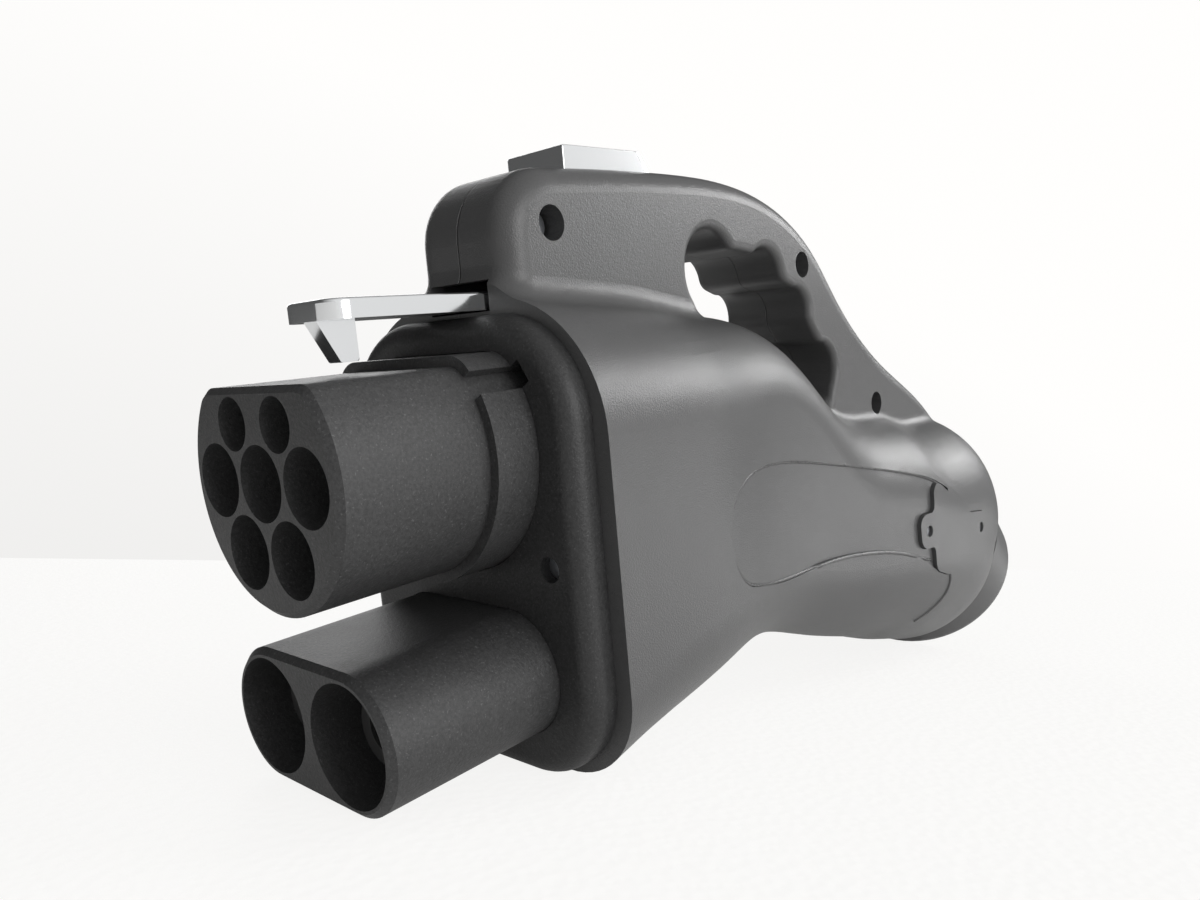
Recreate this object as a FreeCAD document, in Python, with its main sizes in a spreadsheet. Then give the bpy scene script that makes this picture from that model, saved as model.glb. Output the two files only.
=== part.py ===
import FreeCAD, Part
import math
import os

import Sketcher
from FreeCAD import Placement, Rotation, Vector

# Charging adapter: a DC vehicle plug on the front of a two-part moulded housing with a loop
# handle, a sprung latch above the plug, and a round vehicle inlet at the rear.
#
# Everything is drawn in the plug's own frame, in millimetres: the origin is the centre of the
# earth hole on the plug face, -Y points into the vehicle, +X is the left side, +Z is up.
# At the end every piece is moved so that the origin is the mouth of the earth contact, and
# turned about X, so that the adapter stands as it rests on a table.

os.makedirs("parts", exist_ok=True)
doc = FreeCAD.newDocument("charging_adapter")

# Driving sizes

SIZES = [
    ("ac_pitch", 16.0, "centre earth hole to its left and right neighbours"),
    ("ac_row_drop", 13.86, "centre row to lower row"),
    ("signal_rise", 11.2, "centre row up to the two signal holes"),
    ("signal_half_pitch", 8.0, "signal hole to the middle plane"),
    ("power_hole_radius", 7.45, "AC power and earth hole"),
    ("signal_hole_radius", 5.25, "signal hole"),
    ("hole_depth", 34.0, "depth of the AC holes"),
    ("ac_radius", 26.0, "round AC block"),
    ("ac_flat_top", 18.2, "flat top of the AC block above its centre"),
    ("ac_corner", 5.0, "corner between flat and round"),
    ("block_edge", 1.3, "chamfer round the block faces"),
    ("collar_front", 34.0, "front of the collar round the AC block"),
    ("collar_step", 2.2, "collar proud of the AC block"),
    ("key_deep", 5.0, "keyway depth into the flange"),
    ("key_radius", 3.0, "keyway radius in the flange"),
    ("dc_pitch", 27.0, "between the two DC holes"),
    ("dc_drop", 49.5, "AC centre down to the DC holes"),
    ("dc_face", 2.7, "DC face set back from the AC face"),
    ("dc_hole_radius", 12.2, "DC hole"),
    ("dc_lobe_radius", 14.15, "outside of the DC block"),
    ("dc_groove_half", 2.2, "half width of the groove under the DC block"),
    ("dc_groove_deep", 1.0, "depth of that groove"),
    ("flange_front", 45.0, "front face of the flange"),
    ("flange_thick", 7.0, "flange thickness"),
    ("flange_half_width", 37.3, "flange half width"),
    ("flange_top", 28.0, "flange top"),
    ("flange_bottom", 73.0, "flange bottom, below the origin"),
    ("flange_corner_top", 23.0, "upper corners"),
    ("flange_corner_bottom", 21.0, "lower corners"),
    ("flange_edge", 4.5, "rounding of the flange's front edge"),
    ("flange_fit", 0.15, "gap between a block and its hole in the flange"),
    ("seal_thick", 1.5, "flat seal behind the flange"),
    ("seal_width", 2.5, "width of that seal"),
    ("seal_inset", 1.5, "seal inside the flange outline"),
    ("shoulder_thick", 4.0, "shoulder of a block behind the flange"),
    ("shoulder_step", 2.2, "shoulder proud of its block"),
    ("block_rear", 64.0, "rear face of both blocks"),
    ("retainer_thick", 3.0, "plate that holds the contacts in"),
    ("retainer_screw", 11.0, "length of the retainer's screws"),
    ("flange_screw_x", 28.0, "flange screws, sideways"),
    ("flange_screw_drop", 25.0, "flange screws, down"),
    ("flange_screw_head", 2.8, "head recess radius"),
    ("screw_shank", 1.5, "radius of the small screws"),
    ("wall", 3.0, "housing wall"),
    ("rim_half_width", 41.0, "housing rim half width"),
    ("rim_bottom", 73.4, "housing rim bottom, below the origin"),
    ("slab_half", 16.0, "half thickness of the nose and handle"),
    ("slab_edge", 6.5, "rounding of the handle's outer edge"),
    ("slab_front", 53.4, "front of the nose"),
    ("grip_edge", 2.5, "rounding of the finger opening"),
    ("finger_ridge", 5.0, "rounding of the ridges between the fingers"),
    ("blend_front", 7.0, "hollow rounding between the nose and the body"),
    ("blend_rear", 5.0, "hollow rounding between the handle's rear and the body"),
    ("mouth_y", 294.5, "centre of the rear mouth, back"),
    ("mouth_drop", 93.0, "centre of the rear mouth, down"),
    ("mouth_slope", 46.0, "rear inlet axis, degrees below the plug axis"),
    ("collar_radius", 36.5, "outside of the round rear collar"),
    ("collar_length", 22.0, "rear collar, from its mouth into the body"),
    ("collar_edge", 4.5, "rounding of the rear mouth"),
    ("slot_half", 10.0, "latch slot half width"),
    ("slot_low", 28.9, "latch slot floor"),
    ("slot_high", 35.7, "latch slot roof"),
    ("arm_half", 9.3, "latch arm half width"),
    ("arm_tip", 13.3, "front end of the latch arm"),
    ("arm_low", 29.2, "underside of the latch arm"),
    ("arm_thick", 4.0, "latch arm thickness"),
    ("arm_corner", 5.0, "corners of the latch arm, seen from above"),
    ("tooth_half", 2.2, "latch tooth half width"),
    ("tooth_drop", 8.3, "latch tooth below the arm"),
    ("tooth_back", 23.2, "rear face of the tooth"),
    ("pivot_y", 80.0, "latch pivot, back"),
    ("pivot_z", 31.2, "latch pivot, up"),
    ("pivot_radius", 2.0, "latch pivot pin"),
    ("hub_radius", 4.6, "hub round the pivot pin"),
    ("running_gap", 0.05, "radial play of the lever on its pin"),
    ("tail_end", 109.0, "rear end of the lever"),
    ("latch_lift", 4.5, "how far the latch lifts, degrees"),
    ("button_half", 9.5, "release button half width"),
    ("button_front", 80.0, "front of the button"),
    ("button_rear", 112.5, "rear of the button at the housing"),
    ("button_top", 66.7, "top of the button"),
    ("button_gap", 0.35, "gap round the button"),
    ("button_foot_y", 100.0, "where the button meets the lever, back"),
    ("spring_radius", 3.4, "latch spring, to the middle of its wire"),
    ("spring_wire", 0.55, "latch spring wire radius"),
    ("spring_turns", 4.0, "latch spring turns"),
    ("ledge_top", 18.0, "ledge that the spring stands on"),
    ("handle_screw_head", 4.0, "recess of a handle screw"),
    ("handle_screw_seat", 8.0, "seat of a handle screw from the middle plane"),
    ("boss_radius", 5.2, "handle screw boss"),
    ("recess_deep", 0.8, "depth of the long recess on the flank"),
    ("cover_thick", 2.2, "service cover thickness"),
    ("board_thick", 1.6, "circuit board"),
    ("cell_radius", 9.2, "battery cell"),
    ("cell_length", 65.0, "battery cell"),
    ("lead_radius", 6.0, "insulated DC conductor"),
    ("earth_lead_radius", 3.0, "insulated earth conductor"),
    ("inlet_bore", 31.0, "inside of the inlet shell"),
    ("inlet_depth", 30.0, "depth of the inlet socket"),
    ("inlet_base", 12.0, "thickness of the pin carrier"),
    ("inlet_pin_radius", 6.0, "DC pin of the inlet"),
    ("inlet_pin_pitch", 27.0, "between the DC pins of the inlet"),
    ("inlet_pin_short", 8.0, "pin tips inside the mouth"),
    ("dc_bore", 4.0, "bore of a DC contact"),
    ("dc_contact_radius", 7.4, "outside of a DC contact"),
    ("earth_tip", 12.0, "front end of the earth contact"),
    ("signal_tip", 15.0, "front end of a signal contact"),
    ("dc_tip", 14.0, "front end of a DC contact, behind its cap"),
    ("contact_lead_in", 0.3, "chamfer at the mouth of a contact"),
    ("earth_bore", 3.0, "bore of the earth contact"),
    ("earth_contact_radius", 4.2, "outside of the earth contact"),
    ("signal_bore", 1.5, "bore of a signal contact"),
    ("signal_contact_radius", 2.5, "outside of a signal contact"),
]

sheet = doc.addObject("Spreadsheet::Sheet", "Sizes")
for row, (alias, number, note) in enumerate(SIZES, start=1):
    sheet.set(f"A{row}", note)
    sheet.set(f"B{row}", str(number))
    sheet.setAlias(f"B{row}", alias)
doc.recompute()


class Sizes:
    """The sheet's values, read back by name."""


s = Sizes()
for alias, number, note in SIZES:
    setattr(s, alias, float(sheet.get(alias)))

# Sizes that follow from the driving ones

housing_front = s.flange_front + s.flange_thick
power_holes = [(0.0, 0.0), (s.ac_pitch, 0.0), (-s.ac_pitch, 0.0),
               (s.ac_pitch / 2, -s.ac_row_drop), (-s.ac_pitch / 2, -s.ac_row_drop)]
signal_holes = [(-s.signal_half_pitch, s.signal_rise), (s.signal_half_pitch, s.signal_rise)]
dc_holes = [(s.dc_pitch / 2, -s.dc_drop), (-s.dc_pitch / 2, -s.dc_drop)]
contact_rear = s.block_rear + s.retainer_thick
mouth = Vector(0, s.mouth_y, -s.mouth_drop)
mouth_turn = Rotation(Vector(1, 0, 0), -s.mouth_slope)
mouth_axis = mouth_turn.multVec(Vector(0, 1, 0))
mouth_up = mouth_turn.multVec(Vector(0, 0, 1))

nodes = {}


# Helpers

def keep(label, thing):
    """Name a finished piece."""
    thing.Label = label
    nodes[label] = thing
    return thing


def bind(thing, prop, value):
    """Set a property to a number, or tie it to the sheet."""
    if isinstance(value, str):
        thing.setExpression(prop, value)
    else:
        setattr(thing, prop, value)


def rounded(corners):
    """Lines and tangent arcs round a closed loop of corners (x, y, radius)."""
    count = len(corners)
    cuts = []
    for i, (x, y, radius) in enumerate(corners):
        here = Vector(x, y, 0)
        before = Vector(*corners[i - 1][:2], 0)
        after = Vector(*corners[(i + 1) % count][:2], 0)
        into = (before - here).normalize()
        out = (after - here).normalize()
        half = into.getAngle(out) / 2
        reach = radius / math.tan(half) if radius else 0.0
        middle = here + (into + out).normalize() * (radius / math.sin(half) - radius) if radius else here
        cuts.append((here + into * reach, middle, here + out * reach, radius))
    loop = []
    for i, (start, middle, end, radius) in enumerate(cuts):
        if radius:
            loop.append(Part.Arc(start, middle, end))
        following = cuts[(i + 1) % count][0]
        if end.distanceToPoint(following) > 1e-6:
            loop.append(Part.LineSegment(end, following))
    return loop


def box_loop(left, right, low, high, radius=0.0):
    return rounded([(left, low, radius), (right, low, radius), (right, high, radius), (left, high, radius)])


def flat_round(radius, flat, corner):
    """A circle cut off by a flat at the top, with rounded corners."""
    side = math.sqrt((radius - corner) ** 2 - (flat - corner) ** 2)
    centre = Vector(side, flat - corner, 0)
    touch = centre * (radius / (radius - corner))
    lean = math.atan2(centre.y, centre.x)
    middle = (math.pi / 2 + lean) / 2
    bulge = centre + Vector(math.cos(middle), math.sin(middle), 0) * corner
    mirror = lambda p: Vector(-p.x, p.y, 0)
    top = Vector(side, flat, 0)
    return [Part.Arc(top, bulge, touch),
            Part.Arc(touch, Vector(0, -radius, 0), mirror(touch)),
            Part.Arc(mirror(touch), mirror(bulge), mirror(top)),
            Part.LineSegment(mirror(top), top)]


def stadium(half, radius, drop):
    """Two equal circles side by side, joined by their common tangents."""
    low, high = drop - radius, drop + radius
    return [Part.LineSegment(Vector(-half, low, 0), Vector(half, low, 0)),
            Part.Arc(Vector(half, low, 0), Vector(half + radius, drop, 0), Vector(half, high, 0)),
            Part.LineSegment(Vector(half, high, 0), Vector(-half, high, 0)),
            Part.Arc(Vector(-half, high, 0), Vector(-half - radius, drop, 0), Vector(-half, low, 0))]


def circle(x, y, radius):
    return [Part.Circle(Vector(x, y, 0), Vector(0, 0, 1), radius)]


def new_body(name):
    return doc.addObject("PartDesign::Body", name + "_body")


def sketch(body, role, depth, geometry, shift=(0.0, 0.0)):
    """A sketch on one of the body's origin planes, moved along the plane's normal by depth."""
    drawing = body.newObject("Sketcher::SketchObject", body.Name + "_sketch")
    plane = next(f for f in body.Origin.OriginFeatures if f.Role == role)
    drawing.AttachmentSupport = [(plane, "")]
    drawing.MapMode = "FlatFace"
    drawing.AttachmentOffset = Placement(Vector(shift[0], shift[1], depth), Rotation())
    drawing.addGeometry(geometry)
    return drawing


def front_sketch(body, y, geometry):
    """A sketch seen from the front, at distance y along the plug axis."""
    return sketch(body, "XZ_Plane", -y, geometry)


def pad(body, drawing, length, both_ways=False):
    """Extrude towards the rear, or evenly to both sides of a side view."""
    feature = body.newObject("PartDesign::Pad", body.Name + "_pad")
    feature.Profile = drawing
    bind(feature, "Length", length)
    if both_ways:
        feature.SideType = "Symmetric"
    else:
        feature.Reversed = True
    return feature


def pocket(body, drawing, length, both_ways=False):
    feature = body.newObject("PartDesign::Pocket", body.Name + "_pocket")
    feature.Profile = drawing
    bind(feature, "Length", length)
    if both_ways:
        feature.SideType = "Symmetric"
    return feature


def dress(body, kind, size, wanted):
    """Fillet or chamfer the edges of the body's tip that the test picks."""
    doc.recompute()
    base = body.Tip
    names = [f"Edge{i}" for i, edge in enumerate(base.Shape.Edges, start=1) if wanted(edge)]
    feature = body.newObject("PartDesign::" + kind, body.Name + "_" + kind.lower())
    feature.Base = (base, names)
    bind(feature, "Radius" if kind == "Fillet" else "Size", size)
    return feature


def on_plane(axis, value):
    """True for an edge that lies in the plane where that coordinate has that value."""
    def test(edge):
        box = edge.BoundBox
        low, high = getattr(box, axis + "Min"), getattr(box, axis + "Max")
        return abs(low - value) < 1e-4 and abs(high - value) < 1e-4
    return test


def turned(label, profile, place=Placement()):
    """A turned piece about the Y axis, from points (along, radius) of a closed half section."""
    body = new_body(label)
    points = [Vector(along, radius, 0) for along, radius in profile]
    lines = [Part.LineSegment(points[i - 1], points[i]) for i in range(len(points))]
    drawing = sketch(body, "YZ_Plane", 0.0, lines)
    feature = body.newObject("PartDesign::Revolution", body.Name + "_turn")
    feature.Profile = drawing
    feature.ReferenceAxis = (drawing, ["H_Axis"])
    feature.Angle = 360.0
    body.Placement = place
    return keep(label, body)


def cylinder(radius, height, base, axis=Vector(0, 1, 0)):
    """A round solid from a point along an axis."""
    thing = doc.addObject("Part::Cylinder", "round")
    bind(thing, "Radius", radius)
    bind(thing, "Height", height)
    thing.Placement = Placement(base, Rotation(Vector(0, 0, 1), axis))
    return thing


def block(x, y, z):
    """A box from its limits along X, Y and Z."""
    thing = doc.addObject("Part::Box", "block")
    thing.Length, thing.Width, thing.Height = x[1] - x[0], y[1] - y[0], z[1] - z[0]
    thing.Placement = Placement(Vector(x[0], y[0], z[0]), Rotation())
    return thing


def join(things):
    thing = doc.addObject("Part::MultiFuse", "join")
    thing.Shapes = things
    return thing


def overlap(things):
    thing = doc.addObject("Part::MultiCommon", "overlap")
    thing.Shapes = things
    return thing


def cut(base, tool):
    thing = doc.addObject("Part::Cut", "cut")
    thing.Base, thing.Tool = base, tool
    return thing


def group(label, things):
    """Several separate solids in one named piece."""
    thing = doc.addObject("Part::Compound", label + "_group")
    thing.Links = things
    return keep(label, thing)


def solid(name, shape):
    thing = doc.addObject("Part::Feature", name)
    thing.Shape = shape
    return thing


# Plug: the two contact blocks

def contact_block(label, outline, face, shoulder, holes, screws):
    """A moulded block with its shoulder behind the flange; holes are (x, z, radius, depth)."""
    body = new_body(label)
    pad(body, front_sketch(body, face, outline), s.block_rear - face)
    dress(body, "Chamfer", "Sizes.block_edge", on_plane("Y", face))
    pad(body, front_sketch(body, housing_front, shoulder), "Sizes.shoulder_thick")
    for x, z, radius, depth in holes:
        pocket(body, front_sketch(body, face, circle(x, z, radius)), depth)
    for x, z in screws:
        pocket(body, front_sketch(body, contact_rear - s.retainer_screw, circle(x, z, s.screw_shank)),
               s.retainer_screw)
    return keep(label, body)


def power_and_signal_holes():
    holes = [(x, z, s.power_hole_radius, s.hole_depth) for x, z in power_holes]
    holes += [(x, z, s.signal_hole_radius, s.hole_depth) for x, z in signal_holes]
    holes.append((0.0, 0.0, s.earth_contact_radius, s.block_rear))
    holes += [(x, z, s.signal_contact_radius, s.block_rear) for x, z in signal_holes]
    return holes


def make_ac_block():
    shoulder_radius = s.ac_radius + s.collar_step + s.shoulder_step
    block_body = contact_block("ac_contact_block", flat_round(s.ac_radius, s.ac_flat_top, s.ac_corner), 0.0,
                               flat_round(shoulder_radius, s.ac_flat_top + s.collar_step + s.shoulder_step,
                                          s.ac_corner + s.collar_step + s.shoulder_step),
                               power_and_signal_holes(), retainer_screw_places()[:2])
    collar = flat_round(s.ac_radius + s.collar_step, s.ac_flat_top + s.collar_step, s.ac_corner + s.collar_step)
    inner = flat_round(s.ac_radius - 1.0, s.ac_flat_top - 1.0, s.ac_corner)
    pad(block_body, front_sketch(block_body, s.collar_front, collar + inner),
        housing_front - s.collar_front)
    for side in (-1, 1):
        pocket(block_body, front_sketch(block_body, s.collar_front, keyway(side)),
               s.flange_front + s.key_deep - s.collar_front)
    return block_body


def corner_centre():
    """Centre of the rounded corner between the AC block's flat top and its round side."""
    across = math.sqrt((s.ac_radius - s.ac_corner) ** 2 - (s.ac_flat_top - s.ac_corner) ** 2)
    return across, s.ac_flat_top - s.ac_corner


def keyway(side):
    """The gap in the collar at an upper corner of the AC block."""
    x, z = corner_centre()
    inner, outer = s.ac_corner, s.ac_corner + 6.0
    spot = lambda radius, angle: Vector(side * (x + radius * math.cos(math.radians(angle))),
                                        z + radius * math.sin(math.radians(angle)), 0)
    low, middle, high = 42.0, 64.0, 86.0
    return [Part.Arc(spot(inner, low), spot(inner, middle), spot(inner, high)),
            Part.LineSegment(spot(inner, high), spot(outer, high)),
            Part.Arc(spot(outer, high), spot(outer, middle), spot(outer, low)),
            Part.LineSegment(spot(outer, low), spot(inner, low))]


def make_dc_block():
    half = s.dc_pitch / 2
    outline = stadium(half, s.dc_lobe_radius, -s.dc_drop)
    shoulder = stadium(half, s.dc_lobe_radius + s.shoulder_step, -s.dc_drop)
    holes = [(x, z, s.dc_hole_radius, s.flange_front - s.dc_face) for x, z in dc_holes]
    holes += [(x, z, s.dc_contact_radius, s.block_rear) for x, z in dc_holes]
    body = contact_block("dc_contact_block", outline, s.dc_face, shoulder, holes, retainer_screw_places()[2:])
    low = -s.dc_drop - s.dc_lobe_radius
    groove = rounded([(-s.dc_groove_half, low - 1.0, 0), (s.dc_groove_half, low - 1.0, 0),
                      (s.dc_groove_half - 1.0, low + s.dc_groove_deep, 0),
                      (-s.dc_groove_half + 1.0, low + s.dc_groove_deep, 0)])
    pocket(body, front_sketch(body, s.dc_face, groove), s.flange_front - s.dc_face)
    return body


# Plug: flange, seal and retainer

def flange_loop(grow=0.0):
    """The flange outline, moved outwards by grow."""
    wide = s.flange_half_width + grow
    low, high = -s.flange_bottom - grow, s.flange_top + grow
    top, bottom = s.flange_corner_top + grow, s.flange_corner_bottom + grow
    return rounded([(-wide, low, bottom), (wide, low, bottom), (wide, high, top), (-wide, high, top)])


def make_flange():
    body = new_body("front_flange")
    pad(body, front_sketch(body, s.flange_front, flange_loop()), "Sizes.flange_thick")
    dress(body, "Fillet", "Sizes.flange_edge", on_plane("Y", s.flange_front))
    fit = s.flange_fit
    ac_hole = flat_round(s.ac_radius + s.collar_step + fit, s.ac_flat_top + s.collar_step + fit,
                         s.ac_corner + s.collar_step + fit)
    pocket(body, front_sketch(body, s.flange_front, ac_hole), s.flange_thick)
    dc_hole = stadium(s.dc_pitch / 2, s.dc_lobe_radius + fit, -s.dc_drop)
    pocket(body, front_sketch(body, s.flange_front, dc_hole), s.flange_thick)
    for side in (-1, 1):
        x, z = side * s.flange_screw_x, -s.flange_screw_drop
        pocket(body, front_sketch(body, s.flange_front, circle(x, z, s.flange_screw_head)), s.flange_thick - 2.5)
        pocket(body, front_sketch(body, s.flange_front, circle(x, z, s.screw_shank)), s.flange_thick)
        corner_x, corner_z = corner_centre()
        reach = s.ac_corner + 2.4
        key_x = side * (corner_x + reach * math.cos(math.radians(64.0)))
        key_z = corner_z + reach * math.sin(math.radians(64.0))
        pocket(body, front_sketch(body, s.flange_front, circle(key_x, key_z, s.key_radius)), s.key_deep)
    return keep("front_flange", body)


def make_flange_seal():
    body = new_body("flange_seal")
    outer = flange_loop(-s.seal_inset)
    inner = flange_loop(-s.seal_inset - s.seal_width)
    pad(body, front_sketch(body, housing_front, outer + inner), "Sizes.seal_thick")
    return keep("flange_seal", body)


def make_retainer():
    """The plate screwed to the rear of both blocks; every contact has a collar in front of it."""
    body = new_body("contact_retainer")
    plate = rounded([(-26, -64, 8), (26, -64, 8), (26, -38, 4), (20, -26, 4), (18.5, 17, 8), (-18.5, 17, 8),
                     (-20, -26, 4), (-26, -38, 4)])
    pad(body, front_sketch(body, s.block_rear, plate), "Sizes.retainer_thick")
    for x, z, radius in contact_tails():
        pocket(body, front_sketch(body, s.block_rear, circle(x, z, radius)), s.retainer_thick)
    for x, z in retainer_screw_places():
        pocket(body, front_sketch(body, s.block_rear, circle(x, z, s.screw_shank)), s.retainer_thick)
    return keep("contact_retainer", body)


def contact_tails():
    tails = [(0.0, 0.0, s.earth_contact_radius)]
    tails += [(x, z, s.signal_contact_radius) for x, z in signal_holes]
    tails += [(x, z, s.dc_contact_radius) for x, z in dc_holes]
    return tails


def retainer_screw_places():
    return [(-13.0, 0.0), (13.0, 0.0), (0.0, -40.5), (0.0, -58.5)]


def make_retainer_screws():
    head_radius, head_height = 2.7, 1.8
    screws = []
    for x, z in retainer_screw_places():
        head = cylinder(head_radius, head_height, Vector(x, contact_rear, z))
        shank = cylinder("Sizes.screw_shank", "Sizes.retainer_screw", Vector(x, contact_rear - s.retainer_screw, z))
        screws.append(join([head, shank]))
    return group("retainer_screws", screws)


# Plug: contacts

def socket_contact(label, x, z, tip, bore, outside, bore_depth, tail):
    """A sleeve that takes a pin, with a solid tail through the block and its retainer."""
    edge = s.contact_lead_in
    profile = [(tip, bore + edge), (tip, outside - edge), (tip + edge, outside), (tail, outside),
               (tail, 0.0), (tip + bore_depth, 0.0), (tip + bore_depth, bore), (tip + edge, bore)]
    return turned(label, profile, Placement(Vector(x, 0, z), Rotation()))


def make_contacts():
    tail = contact_rear + 8.0
    socket_contact("earth_contact", 0.0, 0.0, s.earth_tip, s.earth_bore, s.earth_contact_radius, 26.0, tail)
    for label, (x, z) in zip(("proximity_contact", "pilot_contact"), signal_holes):
        socket_contact(label, x, z, s.signal_tip, s.signal_bore, s.signal_contact_radius, 24.0, tail)
    for label, (x, z) in zip(("dc_contact_plus", "dc_contact_minus"), dc_holes):
        socket_contact(label, x, z, s.dc_tip, s.dc_bore, s.dc_contact_radius, 34.0, tail)
    cap_length = 3.0
    caps = []
    for x, z in dc_holes:
        ring = cylinder("Sizes.dc_contact_radius", cap_length, Vector(x, s.dc_tip - cap_length, z))
        hole = cylinder("Sizes.dc_bore + 0.5", cap_length, Vector(x, s.dc_tip - cap_length, z))
        caps.append(cut(ring, hole))
    group("contact_tip_caps", caps)
    return tail


# Housing: the body that both halves are cut from

# Each station is the body's section between a top and a bottom point of the middle plane:
# top y, top z, bottom y, bottom z, half width, upper corner radius, lower corner radius.
# The first one lies ahead of the front face, and what is ahead of that face is cut off.
STATIONS = [
    (44.0, 32.1, 44.0, -73.65, 41.5, 29.6, 18.0),
    (52.0, 31.5, 52.0, -73.4, 41.2, 29.6, 20.0),
    (60.0, 30.8, 60.0, -73.2, 40.8, 29.4, 22.0),
    (95.0, 27.8, 95.0, -70.8, 38.6, 28.0, 24.0),
    (128.0, 24.0, 124.0, -69.6, 33.0, 25.0, 22.0),
    (155.0, 15.5, 144.0, -72.2, 31.0, 24.0, 21.0),
    (182.0, -3.5, 168.0, -80.5, 32.0, 28.0, 23.0),
    (214.0, -13.8, 196.0, -90.5, 36.0, 32.0, 29.0),
    (250.0, -20.3, 226.0, -101.5, 39.5, 37.0, 35.0),
    (277.0, -23.0, 243.0, -107.0, 40.0, 38.0, 37.0),
    (300.0, -42.5, 252.0, -109.0, 37.5, 36.0, 36.0),
    (304.5, -60.0, 258.5, -102.5, 31.0, 29.0, 29.0),
]


def station_wire(station, inset):
    """One closed section of the body, inside the outer skin by inset."""
    top_y, top_z, low_y, low_z, half, upper, lower = station
    top, low = Vector(0, top_y, top_z), Vector(0, low_y, low_z)
    up = (top - low).normalize()
    centre = (top + low) * 0.5
    reach = (top - low).Length / 2 - inset
    wide = half - inset
    upper, lower = upper - inset, lower - inset
    flat = [(0.0, reach, 0), (wide, reach, upper), (wide, -reach, lower), (0.0, -reach, 0),
            (-wide, -reach, lower), (-wide, reach, upper)]
    loop = []
    for piece in rounded(flat):
        edge = piece.toShape()
        edge.Placement = Placement(centre, Rotation(Vector(1, 0, 0), up, Vector(0, 0, 1), "XYZ"))
        loop.append(edge)
    return Part.Wire(Part.__sortEdges__(loop))


def body_form(inset, front=None):
    """The lofted body with its round rear collar."""
    wires = [station_wire(station, inset) for station in STATIONS]
    loft = Part.makeLoft(wires, True, False)
    collar = Part.makeCylinder(s.collar_radius - inset, s.collar_length,
                               mouth - mouth_axis * s.collar_length, mouth_axis)
    if inset == 0:
        rim = [edge for edge in collar.Edges if abs(edge.CenterOfMass.distanceToPoint(mouth)) < 1e-3]
        collar = collar.makeFillet(s.collar_edge, rim)
    return loft, collar


# Handle: outer line and finger opening, in the side view (y, z)

HANDLE_CREST = [(70.0, 60.2), (90.0, 61.2), (112.0, 61.7), (146.0, 60.2), (171.0, 53.2), (188.0, 42.4),
                (202.0, 27.6), (219.0, 12.4), (241.0, -1.0), (262.0, -12.0), (278.0, -23.0), (290.0, -36.0)]
NOSE_RADIUS = 16.0
FINGERS = [(128.8, 35.8, 11.5), (156.5, 33.5, 8.8), (173.2, 23.0, 7.4), (187.5, 3.5, 8.9)]


def side_point(y, z):
    return Vector(0, y, z)


def handle_outline(inset=0.0):
    """The nose and handle seen from the side, as one closed wire inside the skin by inset."""
    crest = Part.BSplineCurve()
    crest.interpolate([side_point(*p) for p in HANDLE_CREST])
    if inset:
        points = []
        for step in range(25):
            at = crest.FirstParameter + (crest.LastParameter - crest.FirstParameter) * step / 24
            along = crest.tangent(at)[0]
            points.append(crest.value(at) + Vector(0, along.z, -along.y) * inset)
        crest = Part.BSplineCurve()
        crest.interpolate(points)
    start, end = crest.value(crest.FirstParameter), crest.value(crest.LastParameter)
    front = s.slab_front + inset
    centre = side_point(s.slab_front + NOSE_RADIUS, HANDLE_CREST[0][1] - NOSE_RADIUS)
    diagonal = (NOSE_RADIUS - inset) * math.sqrt(0.5)
    corners = [end, side_point(276.0, -50.0), side_point(150.0, -45.0), side_point(front, -10.0),
               side_point(front, centre.z)]
    edges = [crest.toShape()]
    edges += [Part.LineSegment(a, b).toShape() for a, b in zip(corners, corners[1:])]
    edges.append(Part.Arc(corners[-1], centre + Vector(0, -diagonal, diagonal), start).toShape())
    return Part.Wire(Part.__sortEdges__(edges))


def handle_slab():
    """The full-width nose and handle, edges rounded."""
    slab = Part.Face(handle_outline()).extrude(Vector(2 * s.slab_half, 0, 0))
    slab.translate(Vector(-s.slab_half, 0, 0))
    outline = []
    for edge in slab.Edges:
        box = edge.BoundBox
        if box.XLength < 1e-3 and (edge.CenterOfMass.z > 5.0 or edge.CenterOfMass.y > 280.0):
            if box.ZMax > 0 and not (box.YMax < s.slab_front + 0.01 and box.ZMax < 1.0):
                outline.append(edge)
    return slab, outline



def front_plate(loops, start, end):
    """A solid between two distances along the plug axis; the first loop is its outline."""
    place = Placement(Vector(0, start, 0), Rotation(Vector(1, 0, 0), 90))
    wires = []
    for loop in loops:
        edges = [piece.toShape() for piece in loop]
        wire = Part.Wire(Part.__sortEdges__(edges))
        wire.Placement = place
        wires.append(wire)
    face = Part.Face(wires[0])
    if len(wires) > 1:
        face = face.cut([Part.Face(wire) for wire in wires[1:]])
    return face.extrude(Vector(0, end - start, 0))


def side_plate(outline, left, right):
    """A solid between two X values, from a closed wire in the side view."""
    face = Part.Face(outline)
    face.translate(Vector(left - outline.BoundBox.XMin, 0, 0))
    return face.extrude(Vector(right - left, 0, 0))


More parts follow.
